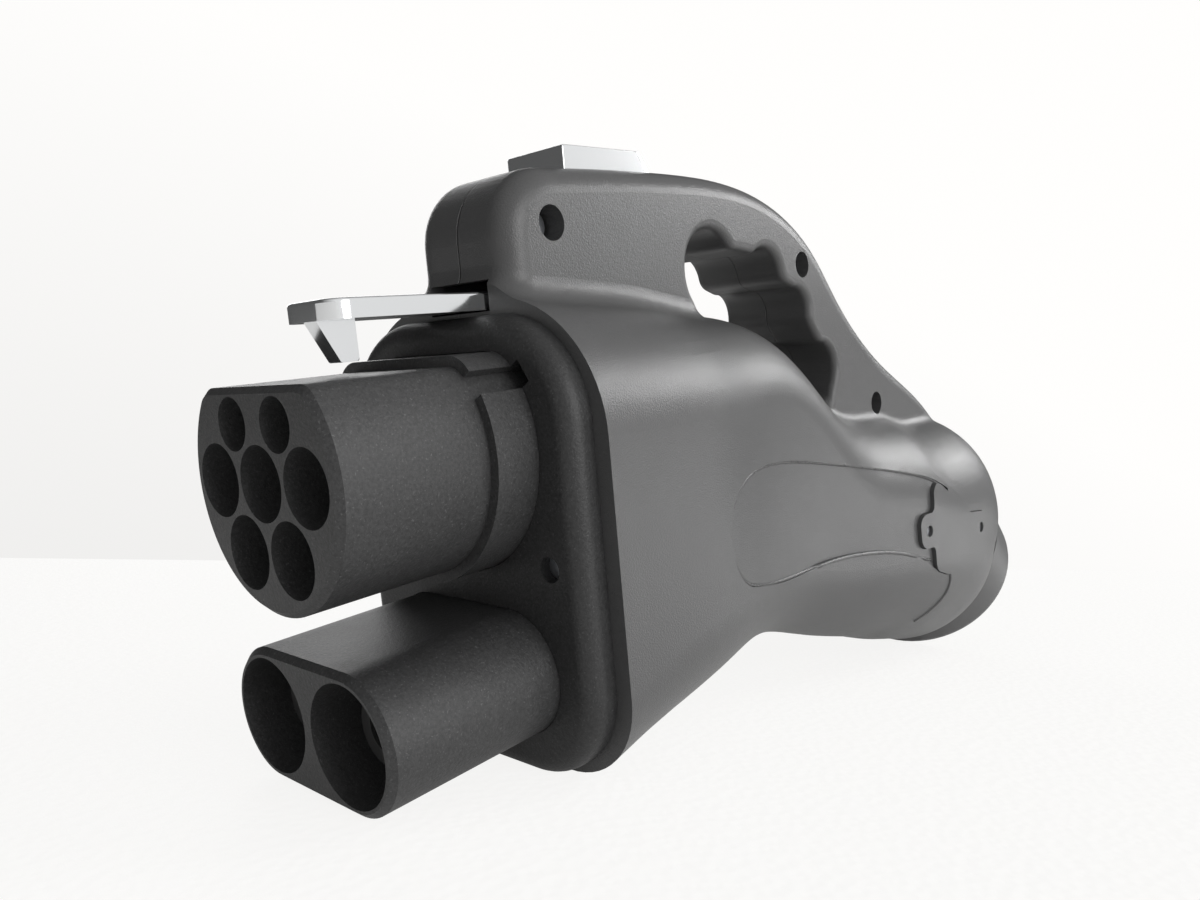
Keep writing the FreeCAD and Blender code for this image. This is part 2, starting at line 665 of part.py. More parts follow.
def finger_outline(grow):
    """The finger opening in the side view, its ridges rounded, moved outwards by grow."""
    discs = []
    for y, z, radius in FINGERS:
        ring = Part.Circle(side_point(y, z), Vector(1, 0, 0), radius).toShape()
        discs.append(Part.Face(Part.Wire([ring])))
    (ay, az, ar), (by, bz, br), (cy, cz, cr), (dy, dz, dr) = FINGERS
    floor = [(ay - ar * 0.7, az - ar * 0.7), (123.0, 5.0), (150.0, -14.0), (183.0, -32.0), (dy - 2.0, -25.0),
             (dy + dr, dz), (dy - 1.5, dz + dr + 0.8), (cy + cr - 0.3, cz - 3.0), (cy, cz + cr - 0.2),
             (by + br - 0.4, bz - 0.5), (by, bz + 5.0), (by - 6.0, bz + 7.0), (ay + 9.5, az + 6.0),
             (ay, az + 5.0)]
    wire = Part.makePolygon([side_point(y, z) for y, z in floor + floor[:1]])
    whole = Part.Face(wire).fuse(discs).removeSplitter()
    outline = whole.Faces[0].OuterWire
    return outline.makeOffset2D(s.finger_ridge, 0).makeOffset2D(grow - s.finger_ridge, 0)


def lies_on(outline, side):
    """True for an edge of a side face that follows the outline."""
    def test(edge):
        if abs(edge.BoundBox.XMin - side) > 1e-3 or abs(edge.BoundBox.XMax - side) > 1e-3:
            return False
        middle = edge.valueAt((edge.FirstParameter + edge.LastParameter) / 2)
        return outline.distToShape(Part.Vertex(0, middle.y, middle.z))[0] < 1e-3
    return test


def grip_solid():
    """The nose and handle, rounded outside and round the finger opening."""
    slab, outline = handle_slab()
    slab = slab.makeFillet(s.slab_edge, outline)
    fingers = finger_outline(0.0)
    slab = slab.cut(side_plate(fingers, -20.0, 20.0))
    rim = [edge for edge in slab.Edges
           if lies_on(fingers, s.slab_half)(edge) or lies_on(fingers, -s.slab_half)(edge)]
    return slab.makeFillet(s.grip_edge, rim)


def junction_edges(skin, loft, low, high):
    """Where the flat sides of the handle meet the body, between two distances along the plug axis."""
    found = []
    for edge in skin.Edges:
        box = edge.BoundBox
        on_flank = box.XLength < 1e-2 and abs(abs(box.XMin) - s.slab_half) < 1e-2
        if on_flank and box.YMin > low and box.YMax < high:
            middle = edge.valueAt((edge.FirstParameter + edge.LastParameter) / 2)
            if loft.Shells[0].distToShape(Part.Vertex(middle))[0] < 1e-2:
                found.append(edge)
    return found


def outer_skin():
    """Body, collar and handle as one solid, with hollow roundings between them."""
    loft, collar = body_form(0.0)
    skin = loft.fuse([collar, grip_solid()])
    skin = skin.makeFillet(s.blend_front, junction_edges(skin, loft, housing_front, 140.0))
    skin = skin.makeFillet(s.blend_rear, junction_edges(skin, loft, 150.0, 300.0))
    ahead = box_solid((-HALF_SPACE, HALF_SPACE), (housing_front - 20.0, housing_front),
                      (-2 * HALF_SPACE, 2 * HALF_SPACE))
    return skin.cut(ahead), loft


def grip_cavity():
    """The hollow inside the nose and handle."""
    inside = s.slab_half - s.wall
    hollow = side_plate(handle_outline(s.wall), -inside, inside)
    return hollow.cut(side_plate(finger_outline(s.wall), -inside - 1, inside + 1))


HANDLE_SCREWS = [(67.5, 47.2), (177.2, 37.1), (224.4, -11.8)]
COVER_SCREWS = [(214.3, -54.5), (254.5, -61.8)]
COVER_OUTLINE = [(219.3, -42.0, 3.0), (223.5, -38.8, 4.0), (245.0, -54.2, 6.0), (259.0, -56.5, 4.0),
                 (259.5, -67.0, 4.0), (244.5, -65.4, 3.0), (228.5, -73.5, 8.0), (217.5, -69.0, 5.0),
                 (217.2, -60.4, 2.0), (209.0, -60.2, 4.0), (209.0, -48.4, 4.0), (217.8, -48.6, 2.0)]
RECESS_LINE = [(232.0, -43.0), (219.0, -36.8), (205.5, -32.7), (183.0, -27.3), (163.0, -22.9), (143.0, -18.6), (127.0, -16.3),
               (113.0, -16.0), (103.0, -18.4), (97.3, -23.8), (96.2, -31.0), (99.0, -38.8), (105.0, -43.8),
               (113.0, -46.2), (125.0, -49.0), (139.0, -50.6), (154.0, -51.2), (170.0, -52.4), (193.9, -56.7),
               (207.7, -62.3), (216.0, -67.5), (224.0, -72.0)]
HALF_SPACE = 60.0


def cover_outline(grow):
    corners = [(y, z, radius) for y, z, radius in COVER_OUTLINE]
    edges = [piece.toShape() for piece in rounded(corners)]
    wire = Part.Wire(Part.__sortEdges__(edges))
    wire.Placement = Placement(Vector(0, 0, 0), Rotation(Vector(1, 1, 1), 120))
    return wire.makeOffset2D(grow) if grow else wire


def recess_outline():
    curve = Part.BSplineCurve()
    points = [side_point(y, z) for y, z in RECESS_LINE]
    curve.interpolate(points)
    return Part.Wire([curve.toShape(), Part.LineSegment(points[-1], points[0]).toShape()])


def box_solid(x, y, z):
    return Part.makeBox(x[1] - x[0], y[1] - y[0], z[1] - z[0], Vector(x[0], y[0], z[0]))


def along_x(radius, x0, x1, y, z):
    return Part.makeCylinder(radius, x1 - x0, Vector(x0, y, z), Vector(1, 0, 0))


def mouth_ring(outside, inside, start, end):
    """A ring round the inlet axis; start and end are depths below the mouth."""
    base = mouth - mouth_axis * end
    ring = Part.makeCylinder(outside, end - start, base, mouth_axis)
    return ring.cut(Part.makeCylinder(inside, end - start, base, mouth_axis))


# Housing: inside depths of the inlet seat, below the mouth
FLANGE_START, FLANGE_END, SEAT_END = 39.0, 43.0, 46.0
INLET_FLANGE = 35.2


def housing_shell():
    """The hollow housing in one piece, and its outer skin."""
    skin, loft = outer_skin()
    inner_loft, unused = body_form(s.wall)
    bore = Part.makeCylinder(s.collar_radius - s.wall, FLANGE_START, mouth - mouth_axis * FLANGE_START, mouth_axis)
    shell = skin.cut(inner_loft.fuse([grip_cavity()]))

    shoulder = s.collar_step + s.shoulder_step
    fit = s.flange_fit
    wall_rear = housing_front + s.shoulder_thick + 4.0
    rim = loft.common(box_solid((-45, 45), (housing_front, wall_rear), (-80, 40)))
    inner_flat = lambda extra: flat_round(s.ac_radius + extra, s.ac_flat_top + extra, s.ac_corner + extra)
    half = s.dc_pitch / 2
    inner_lobe = lambda extra: stadium(half, s.dc_lobe_radius + extra, -s.dc_drop)
    seat = housing_front + s.shoulder_thick
    openings = [front_plate([inner_flat(shoulder + fit)], housing_front - 1, seat),
                front_plate([inner_flat(fit)], seat - 1, wall_rear + 1),
                front_plate([inner_lobe(s.shoulder_step + fit)], housing_front - 1, seat),
                front_plate([inner_lobe(fit)], seat - 1, wall_rear + 1),
                front_plate([flange_loop(-s.seal_inset + 0.05), flange_loop(-s.seal_inset - s.seal_width - 0.05)],
                            housing_front - 1, housing_front + s.seal_thick)]

    bosses = [rim]
    for y, z in HANDLE_SCREWS:
        bosses.append(along_x(s.boss_radius, -HALF_SPACE, HALF_SPACE, y, z))
    for side in (-1, 1):
        x, z = side * s.flange_screw_x, -s.flange_screw_drop
        bosses.append(Part.makeCylinder(4.5, 19.0, Vector(x, housing_front + 1, z), Vector(0, 1, 0)))
        bosses.append(box_solid(sorted((x, side * HALF_SPACE)), (housing_front + 1, housing_front + 20),
                                (z - 1.5, z + 1.5)))
        bosses.append(along_x(s.hub_radius, *sorted((side * (s.arm_half + 0.4), side * HALF_SPACE)),
                              s.pivot_y, s.pivot_z))
    bosses.append(box_solid((-HALF_SPACE, HALF_SPACE), (90.0, 110.0), (s.ledge_top - 3.0, s.ledge_top)))
    for y, z in BOARD_POSTS:
        bosses.append(along_x(2.8, -HALF_SPACE, -BOARD_X - s.board_thick, y, z))
    bosses.append(mouth_ring(HALF_SPACE, s.collar_radius - s.wall, FLANGE_START - 3.2, FLANGE_START - 0.2))
    bosses.append(mouth_ring(HALF_SPACE, 29.0, FLANGE_END + 0.1, SEAT_END))
    for start, end in CRADLES:
        cradle = box_solid((CELL[0] - 12.0, HALF_SPACE), (start, end), (CELL[1] - 13.0, CELL[1] + 2.0))
        bosses.append(cradle)
    bosses.append(box_solid((-HALF_SPACE, SWITCH[0][0]), (SWITCH[1][0] + 3, SWITCH[1][1] - 3), (40.0, 46.0)))
    pad = side_plate(cover_outline(3.0), PAD_FACE, HALF_SPACE)
    bosses.append(pad)
    for y, z in COVER_SCREWS:
        bosses.append(along_x(3.6, PAD_FACE - 6.0, HALF_SPACE, y, z))
    inside = [boss.common(skin) for boss in bosses]
    shell = shell.fuse(inside)

    cell = Part.makeCylinder(s.cell_radius + 0.1, 80.0, Vector(CELL[0], 90.0, CELL[1]), Vector(0, 1, 0))
    inlet_flange = Part.makeCylinder(INLET_FLANGE + 0.1, FLANGE_END - FLANGE_START,
                                     mouth - mouth_axis * FLANGE_END, mouth_axis)
    tools = openings + [bore, inlet_flange, cell]
    tools.append(box_solid((-s.slot_half, s.slot_half), (housing_front - 3, housing_front + 12),
                           (s.slot_low, s.slot_high)))
    gap = s.button_gap
    tools.append(box_solid((-s.button_half - gap, s.button_half + gap), (s.button_front - gap, s.button_rear + gap),
                           (57.3, 75.0)))
    for y, z in HANDLE_SCREWS:
        tools.append(along_x(s.handle_screw_head, s.handle_screw_seat, HALF_SPACE, y, z))
        tools.append(along_x(s.screw_shank, -s.handle_screw_seat - 2.0, s.handle_screw_seat + 1, y, z))
    for side in (-1, 1):
        x, z = side * s.flange_screw_x, -s.flange_screw_drop
        tools.append(Part.makeCylinder(s.screw_shank, 17.5, Vector(x, housing_front - 1, z), Vector(0, 1, 0)))
    tools.append(along_x(s.pivot_radius, -PIN_HALF, PIN_HALF, s.pivot_y, s.pivot_z))
    for y, z in BOARD_POSTS:
        tools.append(along_x(1.0, -BOARD_X - s.board_thick - 7.0, -BOARD_X, y, z))
    recess_floor, unused = body_form(s.recess_deep)
    tools.append(side_plate(recess_outline(), 20.0, HALF_SPACE).cut(recess_floor))
    under_cover, unused = body_form(COVER_SEAT)
    tools.append(side_plate(cover_outline(0.2), PAD_FACE, HALF_SPACE).cut(under_cover))
    tools.append(box_solid((PAD_FACE - 1.0, HALF_SPACE), WINDOW_Y, WINDOW_Z))
    for y, z in COVER_SCREWS:
        tools.append(along_x(1.1, PAD_FACE - 6.0, HALF_SPACE, y, z))
    return shell.cut(tools), skin, under_cover


BOARD_X = 18.4
BOARD_Y, BOARD_Z = (96.0, 150.0), (-30.0, 8.0)
BOARD_POSTS = [(101.0, 3.5), (145.0, 3.5), (101.0, -25.5), (145.0, -25.5)]
CELL = (15.0, -10.0)
CELL_Y = (95.0, 160.0)
CRADLES = [(98.0, 102.0), (150.0, 154.0)]
SWITCH = ((-13.0, -7.0), (84.0, 96.0), (38.6, 48.0))
PAD_FACE = 33.0
COVER_SEAT = 2.6
WINDOW_Y, WINDOW_Z = (225.0, 241.0), (-62.5, -51.5)
PIN_HALF = 14.0


def make_housing():
    shell, skin, under_cover = housing_shell()
    for label, start in (("housing_left", 0.0), ("housing_right", -HALF_SPACE)):
        half = shell.common(box_solid((start, start + HALF_SPACE), (0, 400), (-200, 200)))
        keep(label, solid(label + "_form", half))
    return skin, under_cover


def make_service_cover(under_cover):
    """The cover on the left flank, its seal, screws, board and socket."""
    proud, unused = body_form(-0.5)
    seat, unused = body_form(s.cover_thick - 0.4)
    plate = side_plate(cover_outline(0.0), PAD_FACE, HALF_SPACE).common(proud).cut(seat)
    ring = side_plate(cover_outline(-1.0), PAD_FACE, HALF_SPACE)
    ring = ring.cut(side_plate(cover_outline(-2.6), PAD_FACE, HALF_SPACE)).common(seat).cut(under_cover)
    screws = []
    for y, z in COVER_SCREWS:
        skin_x = 37.2 if y < 230 else 39.9
        head = along_x(1.9, skin_x - 1.4, HALF_SPACE, y, z)
        hole = along_x(1.1, PAD_FACE, HALF_SPACE, y, z)
        plate = plate.cut(head.fuse(hole))
        ring = ring.cut(along_x(2.4, PAD_FACE, HALF_SPACE, y, z))
        screws.append(join([cylinder(1.8, 1.2, Vector(skin_x - 1.4, y, z), Vector(1, 0, 0)),
                            cylinder(1.1, 10.0, Vector(skin_x - 11.4, y, z), Vector(1, 0, 0))]))
    keep("service_cover", solid("service_cover_form", plate))
    keep("cover_seal", solid("cover_seal_form", ring))
    group("cover_screws", screws)
    keep("service_board", block((PAD_FACE - 1.6, PAD_FACE), (219.0, 247.0), (-66.0, -47.0)))
    shell_box = block((PAD_FACE, PAD_FACE + 3.0), (227.0, 239.0), (-61.0, -53.0))
    opening = block((PAD_FACE + 1.0, PAD_FACE + 3.0), (228.0, 238.0), (-60.0, -54.0))
    tongue = block((PAD_FACE + 1.0, PAD_FACE + 2.6), (229.0, 237.0), (-57.4, -56.6))
    keep("service_socket", join([cut(shell_box, opening), tongue]))


# Latch

def top_sketch(body, z, geometry):
    return sketch(body, "XY_Plane", z, geometry)


def side_sketch(body, geometry):
    return sketch(body, "YZ_Plane", 0.0, geometry)


def upward(body, drawing, length):
    feature = body.newObject("PartDesign::Pad", body.Name + "_rise")
    feature.Profile = drawing
    bind(feature, "Length", length)
    return feature


def make_latch():
    lever = new_body("latch_lever")
    half, tip = s.arm_half, s.arm_tip
    arm = rounded([(-half, tip, s.arm_corner), (half, tip, s.arm_corner), (half, 84.0, 1.0), (-half, 84.0, 1.0)])
    upward(lever, top_sketch(lever, s.arm_low, arm), "Sizes.arm_thick")
    dress(lever, "Fillet", 0.8, on_plane("Z", s.arm_low + s.arm_thick))
    tail = box_loop(-half + 0.8, half - 0.8, 77.0, s.tail_end, 1.0)
    upward(lever, top_sketch(lever, s.arm_low + s.arm_thick - 0.6, tail), 37.0 - s.arm_low - s.arm_thick + 0.6)
    hub = side_sketch(lever, circle(s.pivot_y, s.pivot_z, s.hub_radius))
    pad(lever, hub, 2 * half, both_ways=True)
    low, back = s.arm_low - s.tooth_drop, s.tooth_back
    tooth = rounded([(14.2, s.arm_low + 0.5, 0), (back, s.arm_low + 0.5, 0), (back, low, 0.6), (19.0, low, 0.6)])
    pad(lever, side_sketch(lever, tooth), "2 * Sizes.tooth_half", both_ways=True)
    bore = side_sketch(lever, circle(s.pivot_y, s.pivot_z, s.pivot_radius + s.running_gap))
    pocket(lever, bore, 2 * half + 2, both_ways=True)
    keep("latch_lever", lever)

    pin = cylinder("Sizes.pivot_radius", 2 * PIN_HALF, Vector(-PIN_HALF, s.pivot_y, s.pivot_z), Vector(1, 0, 0))
    keep("latch_pin", pin)

    low, high = s.ledge_top + s.spring_wire, s.arm_low + s.arm_thick - 0.6 - s.spring_wire
    halves = round(2 * s.spring_turns)
    rise = (high - low) / halves
    reach, lean = math.hypot(s.spring_radius, rise / 2), math.degrees(math.atan2(rise / 2, s.spring_radius))
    upright, across = Vector(0, 0, 1), Vector(0, 1, 0)
    coils = []
    for index in range(halves):
        half = Part.makeTorus(reach, s.spring_wire, Vector(0, 0, 0), upright, 0, 360, 180)
        side = index % 2
        turn = Rotation(across, -lean if side else lean).multiply(Rotation(upright, 180 * side))
        half.Placement = Placement(Vector(0, s.button_foot_y, low + rise * (index + 0.5)), turn)
        coils.append(half)
    spring = coils[0].multiFuse(coils[1:])
    keep("latch_spring", solid("latch_spring_form", spring))

    button = new_body("release_button")
    cap = rounded([(s.button_front, 56.0, 0), (s.button_rear, 56.0, 0), (s.button_rear, 61.6, 0.8),
                   (108.2, s.button_top + 0.3, 0.8), (s.button_front, s.button_top - 0.2, 0.8)])
    pad(button, side_sketch(button, cap), "2 * Sizes.button_half", both_ways=True)
    skirt = box_loop(-s.button_half - 2.2, s.button_half + 2.2, s.button_front - 2.5, s.button_rear + 2.2, 1.5)
    upward(button, top_sketch(button, 54.6, skirt), 2.4)
    foot_y, foot = s.button_foot_y, 2.5
    stem = rounded([(foot_y - foot, 55.5, 0), (foot_y - foot, 37.05, foot - 0.01),
                    (foot_y + foot, 37.05, foot - 0.01), (foot_y + foot, 55.5, 0)])
    pad(button, side_sketch(button, stem), 8.0, both_ways=True)
    keep("release_button", button)

    case = block(*SWITCH)
    plunger = cylinder(0.9, 1.5, Vector(-10.0, 90.0, 37.15), Vector(0, 0, 1))
    keep("latch_switch", join([case, plunger]))


# Inside: control board, battery and conductors

def make_electronics():
    board = block((-BOARD_X - s.board_thick, -BOARD_X), BOARD_Y, BOARD_Z)
    holes = [cylinder(1.0, 10.0, Vector(-BOARD_X - 5, y, z), Vector(1, 0, 0)) for y, z in BOARD_POSTS]
    keep("control_board", cut(board, join(holes)))
    tops = [(-BOARD_X, -BOARD_X + 1.2, 108, 120, -16, -4), (-BOARD_X, -BOARD_X + 1.6, 126, 136, -14, -4),
            (-BOARD_X, -BOARD_X + 5.0, 98, 104, -18, -6), (-BOARD_X, -BOARD_X + 3.0, 138, 146, -20, -10),
            (-BOARD_X, -BOARD_X + 2.0, 110, 118, 0, 5), (-BOARD_X, -BOARD_X + 1.0, 124, 128, -26, -22),
            (-BOARD_X, -BOARD_X + 1.0, 131, 135, -26, -22)]
    group("board_parts", [block((a, b), (c, d), (e, f)) for a, b, c, d, e, f in tops])
    screws = []
    for y, z in BOARD_POSTS:
        screws.append(join([cylinder(1.9, 1.3, Vector(-BOARD_X, y, z), Vector(1, 0, 0)),
                            cylinder(1.0, 7.0, Vector(-BOARD_X - 7.0, y, z), Vector(1, 0, 0))]))
    group("board_screws", screws)
    cell = cylinder("Sizes.cell_radius", "Sizes.cell_length", Vector(CELL[0], CELL_Y[0], CELL[1]))
    button_end = cylinder(3.0, 1.0, Vector(CELL[0], CELL_Y[1], CELL[1]))
    keep("battery_cell", join([cell, button_end]))


def bent(points, bends):
    """A path of straight lines with round bends at the inner points."""
    pieces, start = [], points[0]
    for i, radius in enumerate(bends, start=1):
        corner = points[i]
        into = (points[i - 1] - corner).normalize()
        out = (points[i + 1] - corner).normalize()
        half = into.getAngle(out) / 2
        reach = radius / math.tan(half)
        middle = corner + (into + out).normalize() * (radius / math.sin(half) - radius)
        pieces.append(Part.LineSegment(start, corner + into * reach).toShape())
        pieces.append(Part.Arc(corner + into * reach, middle, corner + out * reach).toShape())
        start = corner + out * reach
    pieces.append(Part.LineSegment(start, points[-1]).toShape())
    return Part.Wire(pieces)


def lead(path, radius):
    first = path.Edges[0]
    along = first.tangentAt(first.FirstParameter)
    ring = Part.Circle(first.valueAt(first.FirstParameter), along, radius).toShape()
    return path.makePipeShell([Part.Wire([ring])], True, False)


def inlet_point(x, up, depth):
    """A point in the rear inlet: sideways, up across the mouth, and down below the mouth."""
    return Vector(x, 0, 0) + mouth + mouth_up * up - mouth_axis * depth


INLET_TAIL = 52.0
EARTH_UP = -15.0


def make_leads(tail):
    for label, (x, z) in zip(("dc_lead_plus", "dc_lead_minus"), dc_holes):
        end = inlet_point(x, 0, INLET_TAIL)
        knee = end - mouth_axis * 38.0
        path = bent([Vector(x, tail, z), Vector(x, 112.0, z), knee, end], (25.0, 25.0))
        keep(label, solid(label + "_form", lead(path, s.lead_radius)))
    end = inlet_point(0, EARTH_UP, INLET_TAIL)
    knee = end - mouth_axis * 26.0
    path = bent([Vector(0, tail, 0), Vector(0, 96.0, 0), Vector(0, 146.0, -34.0), knee, end], (14.0, 14.0, 14.0))
    keep("earth_lead", solid("earth_lead_form", lead(path, s.earth_lead_radius)))
    wires = []
    board_plug = -BOARD_X + 2.6
    routes = [[(signal_holes[0][0], 81.0, s.signal_rise), (board_plug + 2.0, 83.0, 6.0), (board_plug, 92.0, -14.0)],
              [(signal_holes[1][0], 86.0, s.signal_rise), (board_plug + 3.5, 89.0, 10.5), (board_plug, 94.0, -9.0)]]
    for (x, z), route in zip(signal_holes, routes):
        last = route[-1]
        points = [Vector(x, tail, z)] + [Vector(*point) for point in route] + [Vector(last[0], 98.0, last[2])]
        wires.append(solid("signal_wire", lead(bent(points, (1.5, 1.5, 1.5)), 1.0)))
    group("signal_leads", wires)


# Rear inlet

def inlet_place(x, up):
    return Placement(mouth + Vector(x, 0, 0) + mouth_up * up, mouth_turn)


def make_inlet():
    outside = s.collar_radius - s.wall - 0.15
    inside = s.inlet_bore
    lip = inside - 1.6
    depth = s.inlet_depth
    profile = [(-1.0, inside + 1.0), (-1.0, outside), (-19.6, outside), (-19.6, outside - 1.3), (-22.0, outside - 1.3),
               (-22.0, outside), (-FLANGE_START, outside), (-FLANGE_START, INLET_FLANGE), (-FLANGE_END, INLET_FLANGE),
               (-FLANGE_END, inside), (-depth, inside), (-depth, lip), (-depth + 1.6, lip), (-depth + 1.6, inside),
               (-2.0, inside)]
    turned("inlet_shell", profile, inlet_place(0, 0))
    turned("inlet_seal", [(-19.9, outside - 1.3), (-19.9, outside + 0.15), (-21.7, outside + 0.15),
                          (-21.7, outside - 1.3)], inlet_place(0, 0))

    carrier = new_body("inlet_pin_carrier")
    base = inlet_place(0, 0)
    disc = pad(carrier, front_sketch(carrier, -FLANGE_END, circle(0, 0, inside - 0.1)), FLANGE_END - depth)
    small = [(x, up) for x, up in INLET_SIGNALS]
    seat = s.inlet_pin_radius + PIN_STEP
    for x, up, radius in ([(s.inlet_pin_pitch / 2, 0, seat), (-s.inlet_pin_pitch / 2, 0, seat),
                           (0, EARTH_UP, 4.0 + PIN_STEP)] + [(x, up, 1.5) for x, up in small]):
        pocket(carrier, front_sketch(carrier, -FLANGE_END, circle(x, up, radius)), FLANGE_END - depth)
    carrier.Placement = base
    keep("inlet_pin_carrier", carrier)

    def pin(label, x, up, radius, tip, cup):
        nose = radius * 0.35
        seat = radius + PIN_STEP
        profile = [(-tip, 0.0), (-tip, radius - nose), (-tip - nose, radius), (-depth, radius), (-depth, seat),
                   (-FLANGE_END, seat), (-FLANGE_END, cup), (-INLET_TAIL, cup), (-INLET_TAIL, 0.0)]
        return turned(label, profile, inlet_place(x, up))

    half = s.inlet_pin_pitch / 2
    pin("inlet_pin_plus", half, 0, s.inlet_pin_radius, s.inlet_pin_short, 7.4)
    pin("inlet_pin_minus", -half, 0, s.inlet_pin_radius, s.inlet_pin_short, 7.4)
    pin("inlet_earth_pin", 0, EARTH_UP, 4.0, 5.0, 4.8)
    pins = []
    for x, up in INLET_SIGNALS:
        pins.append(cylinder(1.5, 33.0, inlet_point(x, up, 47.0), mouth_axis))
    group("inlet_signal_pins", pins)


PIN_STEP = 0.6
INLET_SIGNALS = [(-18.0, 14.5), (-10.0, 20.0), (0.0, 22.5), (10.0, 20.0), (18.0, 14.5), (0.0, 13.5)]


def make_screws():
    screws = []
    seat = s.handle_screw_seat
    for y, z in HANDLE_SCREWS:
        head = cylinder(3.3, 2.4, Vector(seat, y, z), Vector(1, 0, 0))
        shank = cylinder("Sizes.screw_shank", 2 * seat + 1.0, Vector(-seat - 1.0, y, z), Vector(1, 0, 0))
        screws.append(join([head, shank]))
    group("housing_screws", screws)
    screws = []
    for side in (-1, 1):
        x, z = side * s.flange_screw_x, -s.flange_screw_drop
        seat_y = housing_front - 2.5
        screws.append(join([cylinder(2.7, 1.8, Vector(x, seat_y - 1.8, z)),
                            cylinder("Sizes.screw_shank", 17.0, Vector(x, seat_y, z))]))
    group("flange_screws", screws)


# Build

make_ac_block()
make_dc_block()
make_flange()
make_flange_seal()
make_retainer()
make_retainer_screws()
tail = make_contacts()
skin, under_cover = make_housing()
make_service_cover(under_cover)
make_latch()
make_electronics()
make_leads(tail)
make_inlet()
make_screws()
doc.recompute()

# Stand the adapter as it rests: on the lower rim behind the flange and on the rear collar

points = [point for point in skin.tessellate(0.3)[0] if point.y > housing_front + 100]
rest_tilt = max(math.degrees(math.atan2(-s.rim_bottom - point.z, point.y - housing_front)) for point in points)
rest_turn = Placement(Vector(0, 0, 0), Rotation(Vector(1, 0, 0), rest_tilt))
to_contact = Placement(Vector(0, -s.earth_tip - s.contact_lead_in, 0), Rotation())

for thing in doc.Objects:
    if "Invalid" in thing.State or "Error" in thing.State:
        raise RuntimeError(f"{thing.Name} ({thing.Label}) did not compute: {thing.State}")

for label, thing in nodes.items():
    thing.Placement = rest_turn.multiply(to_contact).multiply(thing.Placement)
    shape = thing.Shape
    if not shape.isValid() or not shape.Solids:
        raise RuntimeError(f"{label} is not a valid solid")
    shape.exportStep(f"parts/{label}.step")

print(f"rest tilt {rest_tilt:.3f} degrees, {len(nodes)} pieces")
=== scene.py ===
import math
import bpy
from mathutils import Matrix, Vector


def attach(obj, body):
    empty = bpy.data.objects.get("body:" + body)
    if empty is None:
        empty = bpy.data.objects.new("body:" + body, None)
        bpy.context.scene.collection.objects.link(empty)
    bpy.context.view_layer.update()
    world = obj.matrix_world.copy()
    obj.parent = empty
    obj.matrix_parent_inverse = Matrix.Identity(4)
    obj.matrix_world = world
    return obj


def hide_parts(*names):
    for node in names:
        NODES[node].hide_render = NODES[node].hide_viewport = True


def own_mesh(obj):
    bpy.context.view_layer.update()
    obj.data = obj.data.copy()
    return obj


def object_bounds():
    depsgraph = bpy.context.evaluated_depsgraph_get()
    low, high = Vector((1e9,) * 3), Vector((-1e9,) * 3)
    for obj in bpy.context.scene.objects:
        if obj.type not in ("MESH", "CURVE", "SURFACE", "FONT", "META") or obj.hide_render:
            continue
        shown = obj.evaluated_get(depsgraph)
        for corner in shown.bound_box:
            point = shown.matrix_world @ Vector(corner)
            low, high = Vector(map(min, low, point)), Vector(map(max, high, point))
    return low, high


bl_info = {
    "name": "Charging Adapter",
    "version": (1, 0, 0),
    "blender": (4, 5, 0),
    "location": "View3D > Sidebar > Adapter",
    "description": "Finishes and details for a hand-held electric vehicle charging adapter",
    "category": "Object",
}

import bmesh
import bpy
from bpy.props import FloatProperty, FloatVectorProperty, PointerProperty
from mathutils import Matrix, Vector

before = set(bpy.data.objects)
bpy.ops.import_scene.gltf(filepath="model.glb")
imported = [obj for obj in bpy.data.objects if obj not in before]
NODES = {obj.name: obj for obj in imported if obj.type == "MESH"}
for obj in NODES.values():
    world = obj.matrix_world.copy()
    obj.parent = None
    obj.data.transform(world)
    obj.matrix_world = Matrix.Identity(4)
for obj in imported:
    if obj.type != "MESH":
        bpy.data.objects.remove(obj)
CAD_BOX = [[float(value) for value in corner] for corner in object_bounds()]

# The plug's own frame: drawing axes of the moulded parts, in millimetres, turned to stand at rest
MM_PER_M = 1000.0
REST_TILT = math.radians(11.287)
CONTACT_MOUTH = 12.3
TO_REST = (Matrix.Rotation(REST_TILT, 4, "X") @ Matrix.Translation((0.0, -CONTACT_MOUTH / MM_PER_M, 0.0))
           @ Matrix.Scale(1.0 / MM_PER_M, 4))


def rest(x, y, z):
    """A point of the plug's frame, in millimetres, as it stands at rest, in metres."""
    return TO_REST @ Vector((x, y, z))


# Shader maths

class Signal:
    """A node socket that can be used in Python expressions."""

    def __init__(self, tree, socket):
        self.tree = tree
        self.socket = socket

    def maths(self, operation, *values):
        node = self.tree.nodes.new("ShaderNodeMath")
        node.operation = operation
        for index, value in enumerate(values):
            plug(self.tree, value, node.inputs[index])
        return Signal(self.tree, node.outputs[0])

    def __add__(self, other):
        return self.maths("ADD", self, other)

    def __radd__(self, other):
        return self.maths("ADD", other, self)

    def __sub__(self, other):
        return self.maths("SUBTRACT", self, other)

    def __rsub__(self, other):
        return self.maths("SUBTRACT", other, self)

    def __mul__(self, other):
        return self.maths("MULTIPLY", self, other)

    def __rmul__(self, other):
        return self.maths("MULTIPLY", other, self)


def plug(tree, value, target):
    """Link a signal to a socket, or set the socket to a plain value."""
    if isinstance(value, Signal):
        tree.links.new(value.socket, target)
    elif isinstance(value, bpy.types.NodeSocket):
        tree.links.new(value, target)
    else:
        target.default_value = value


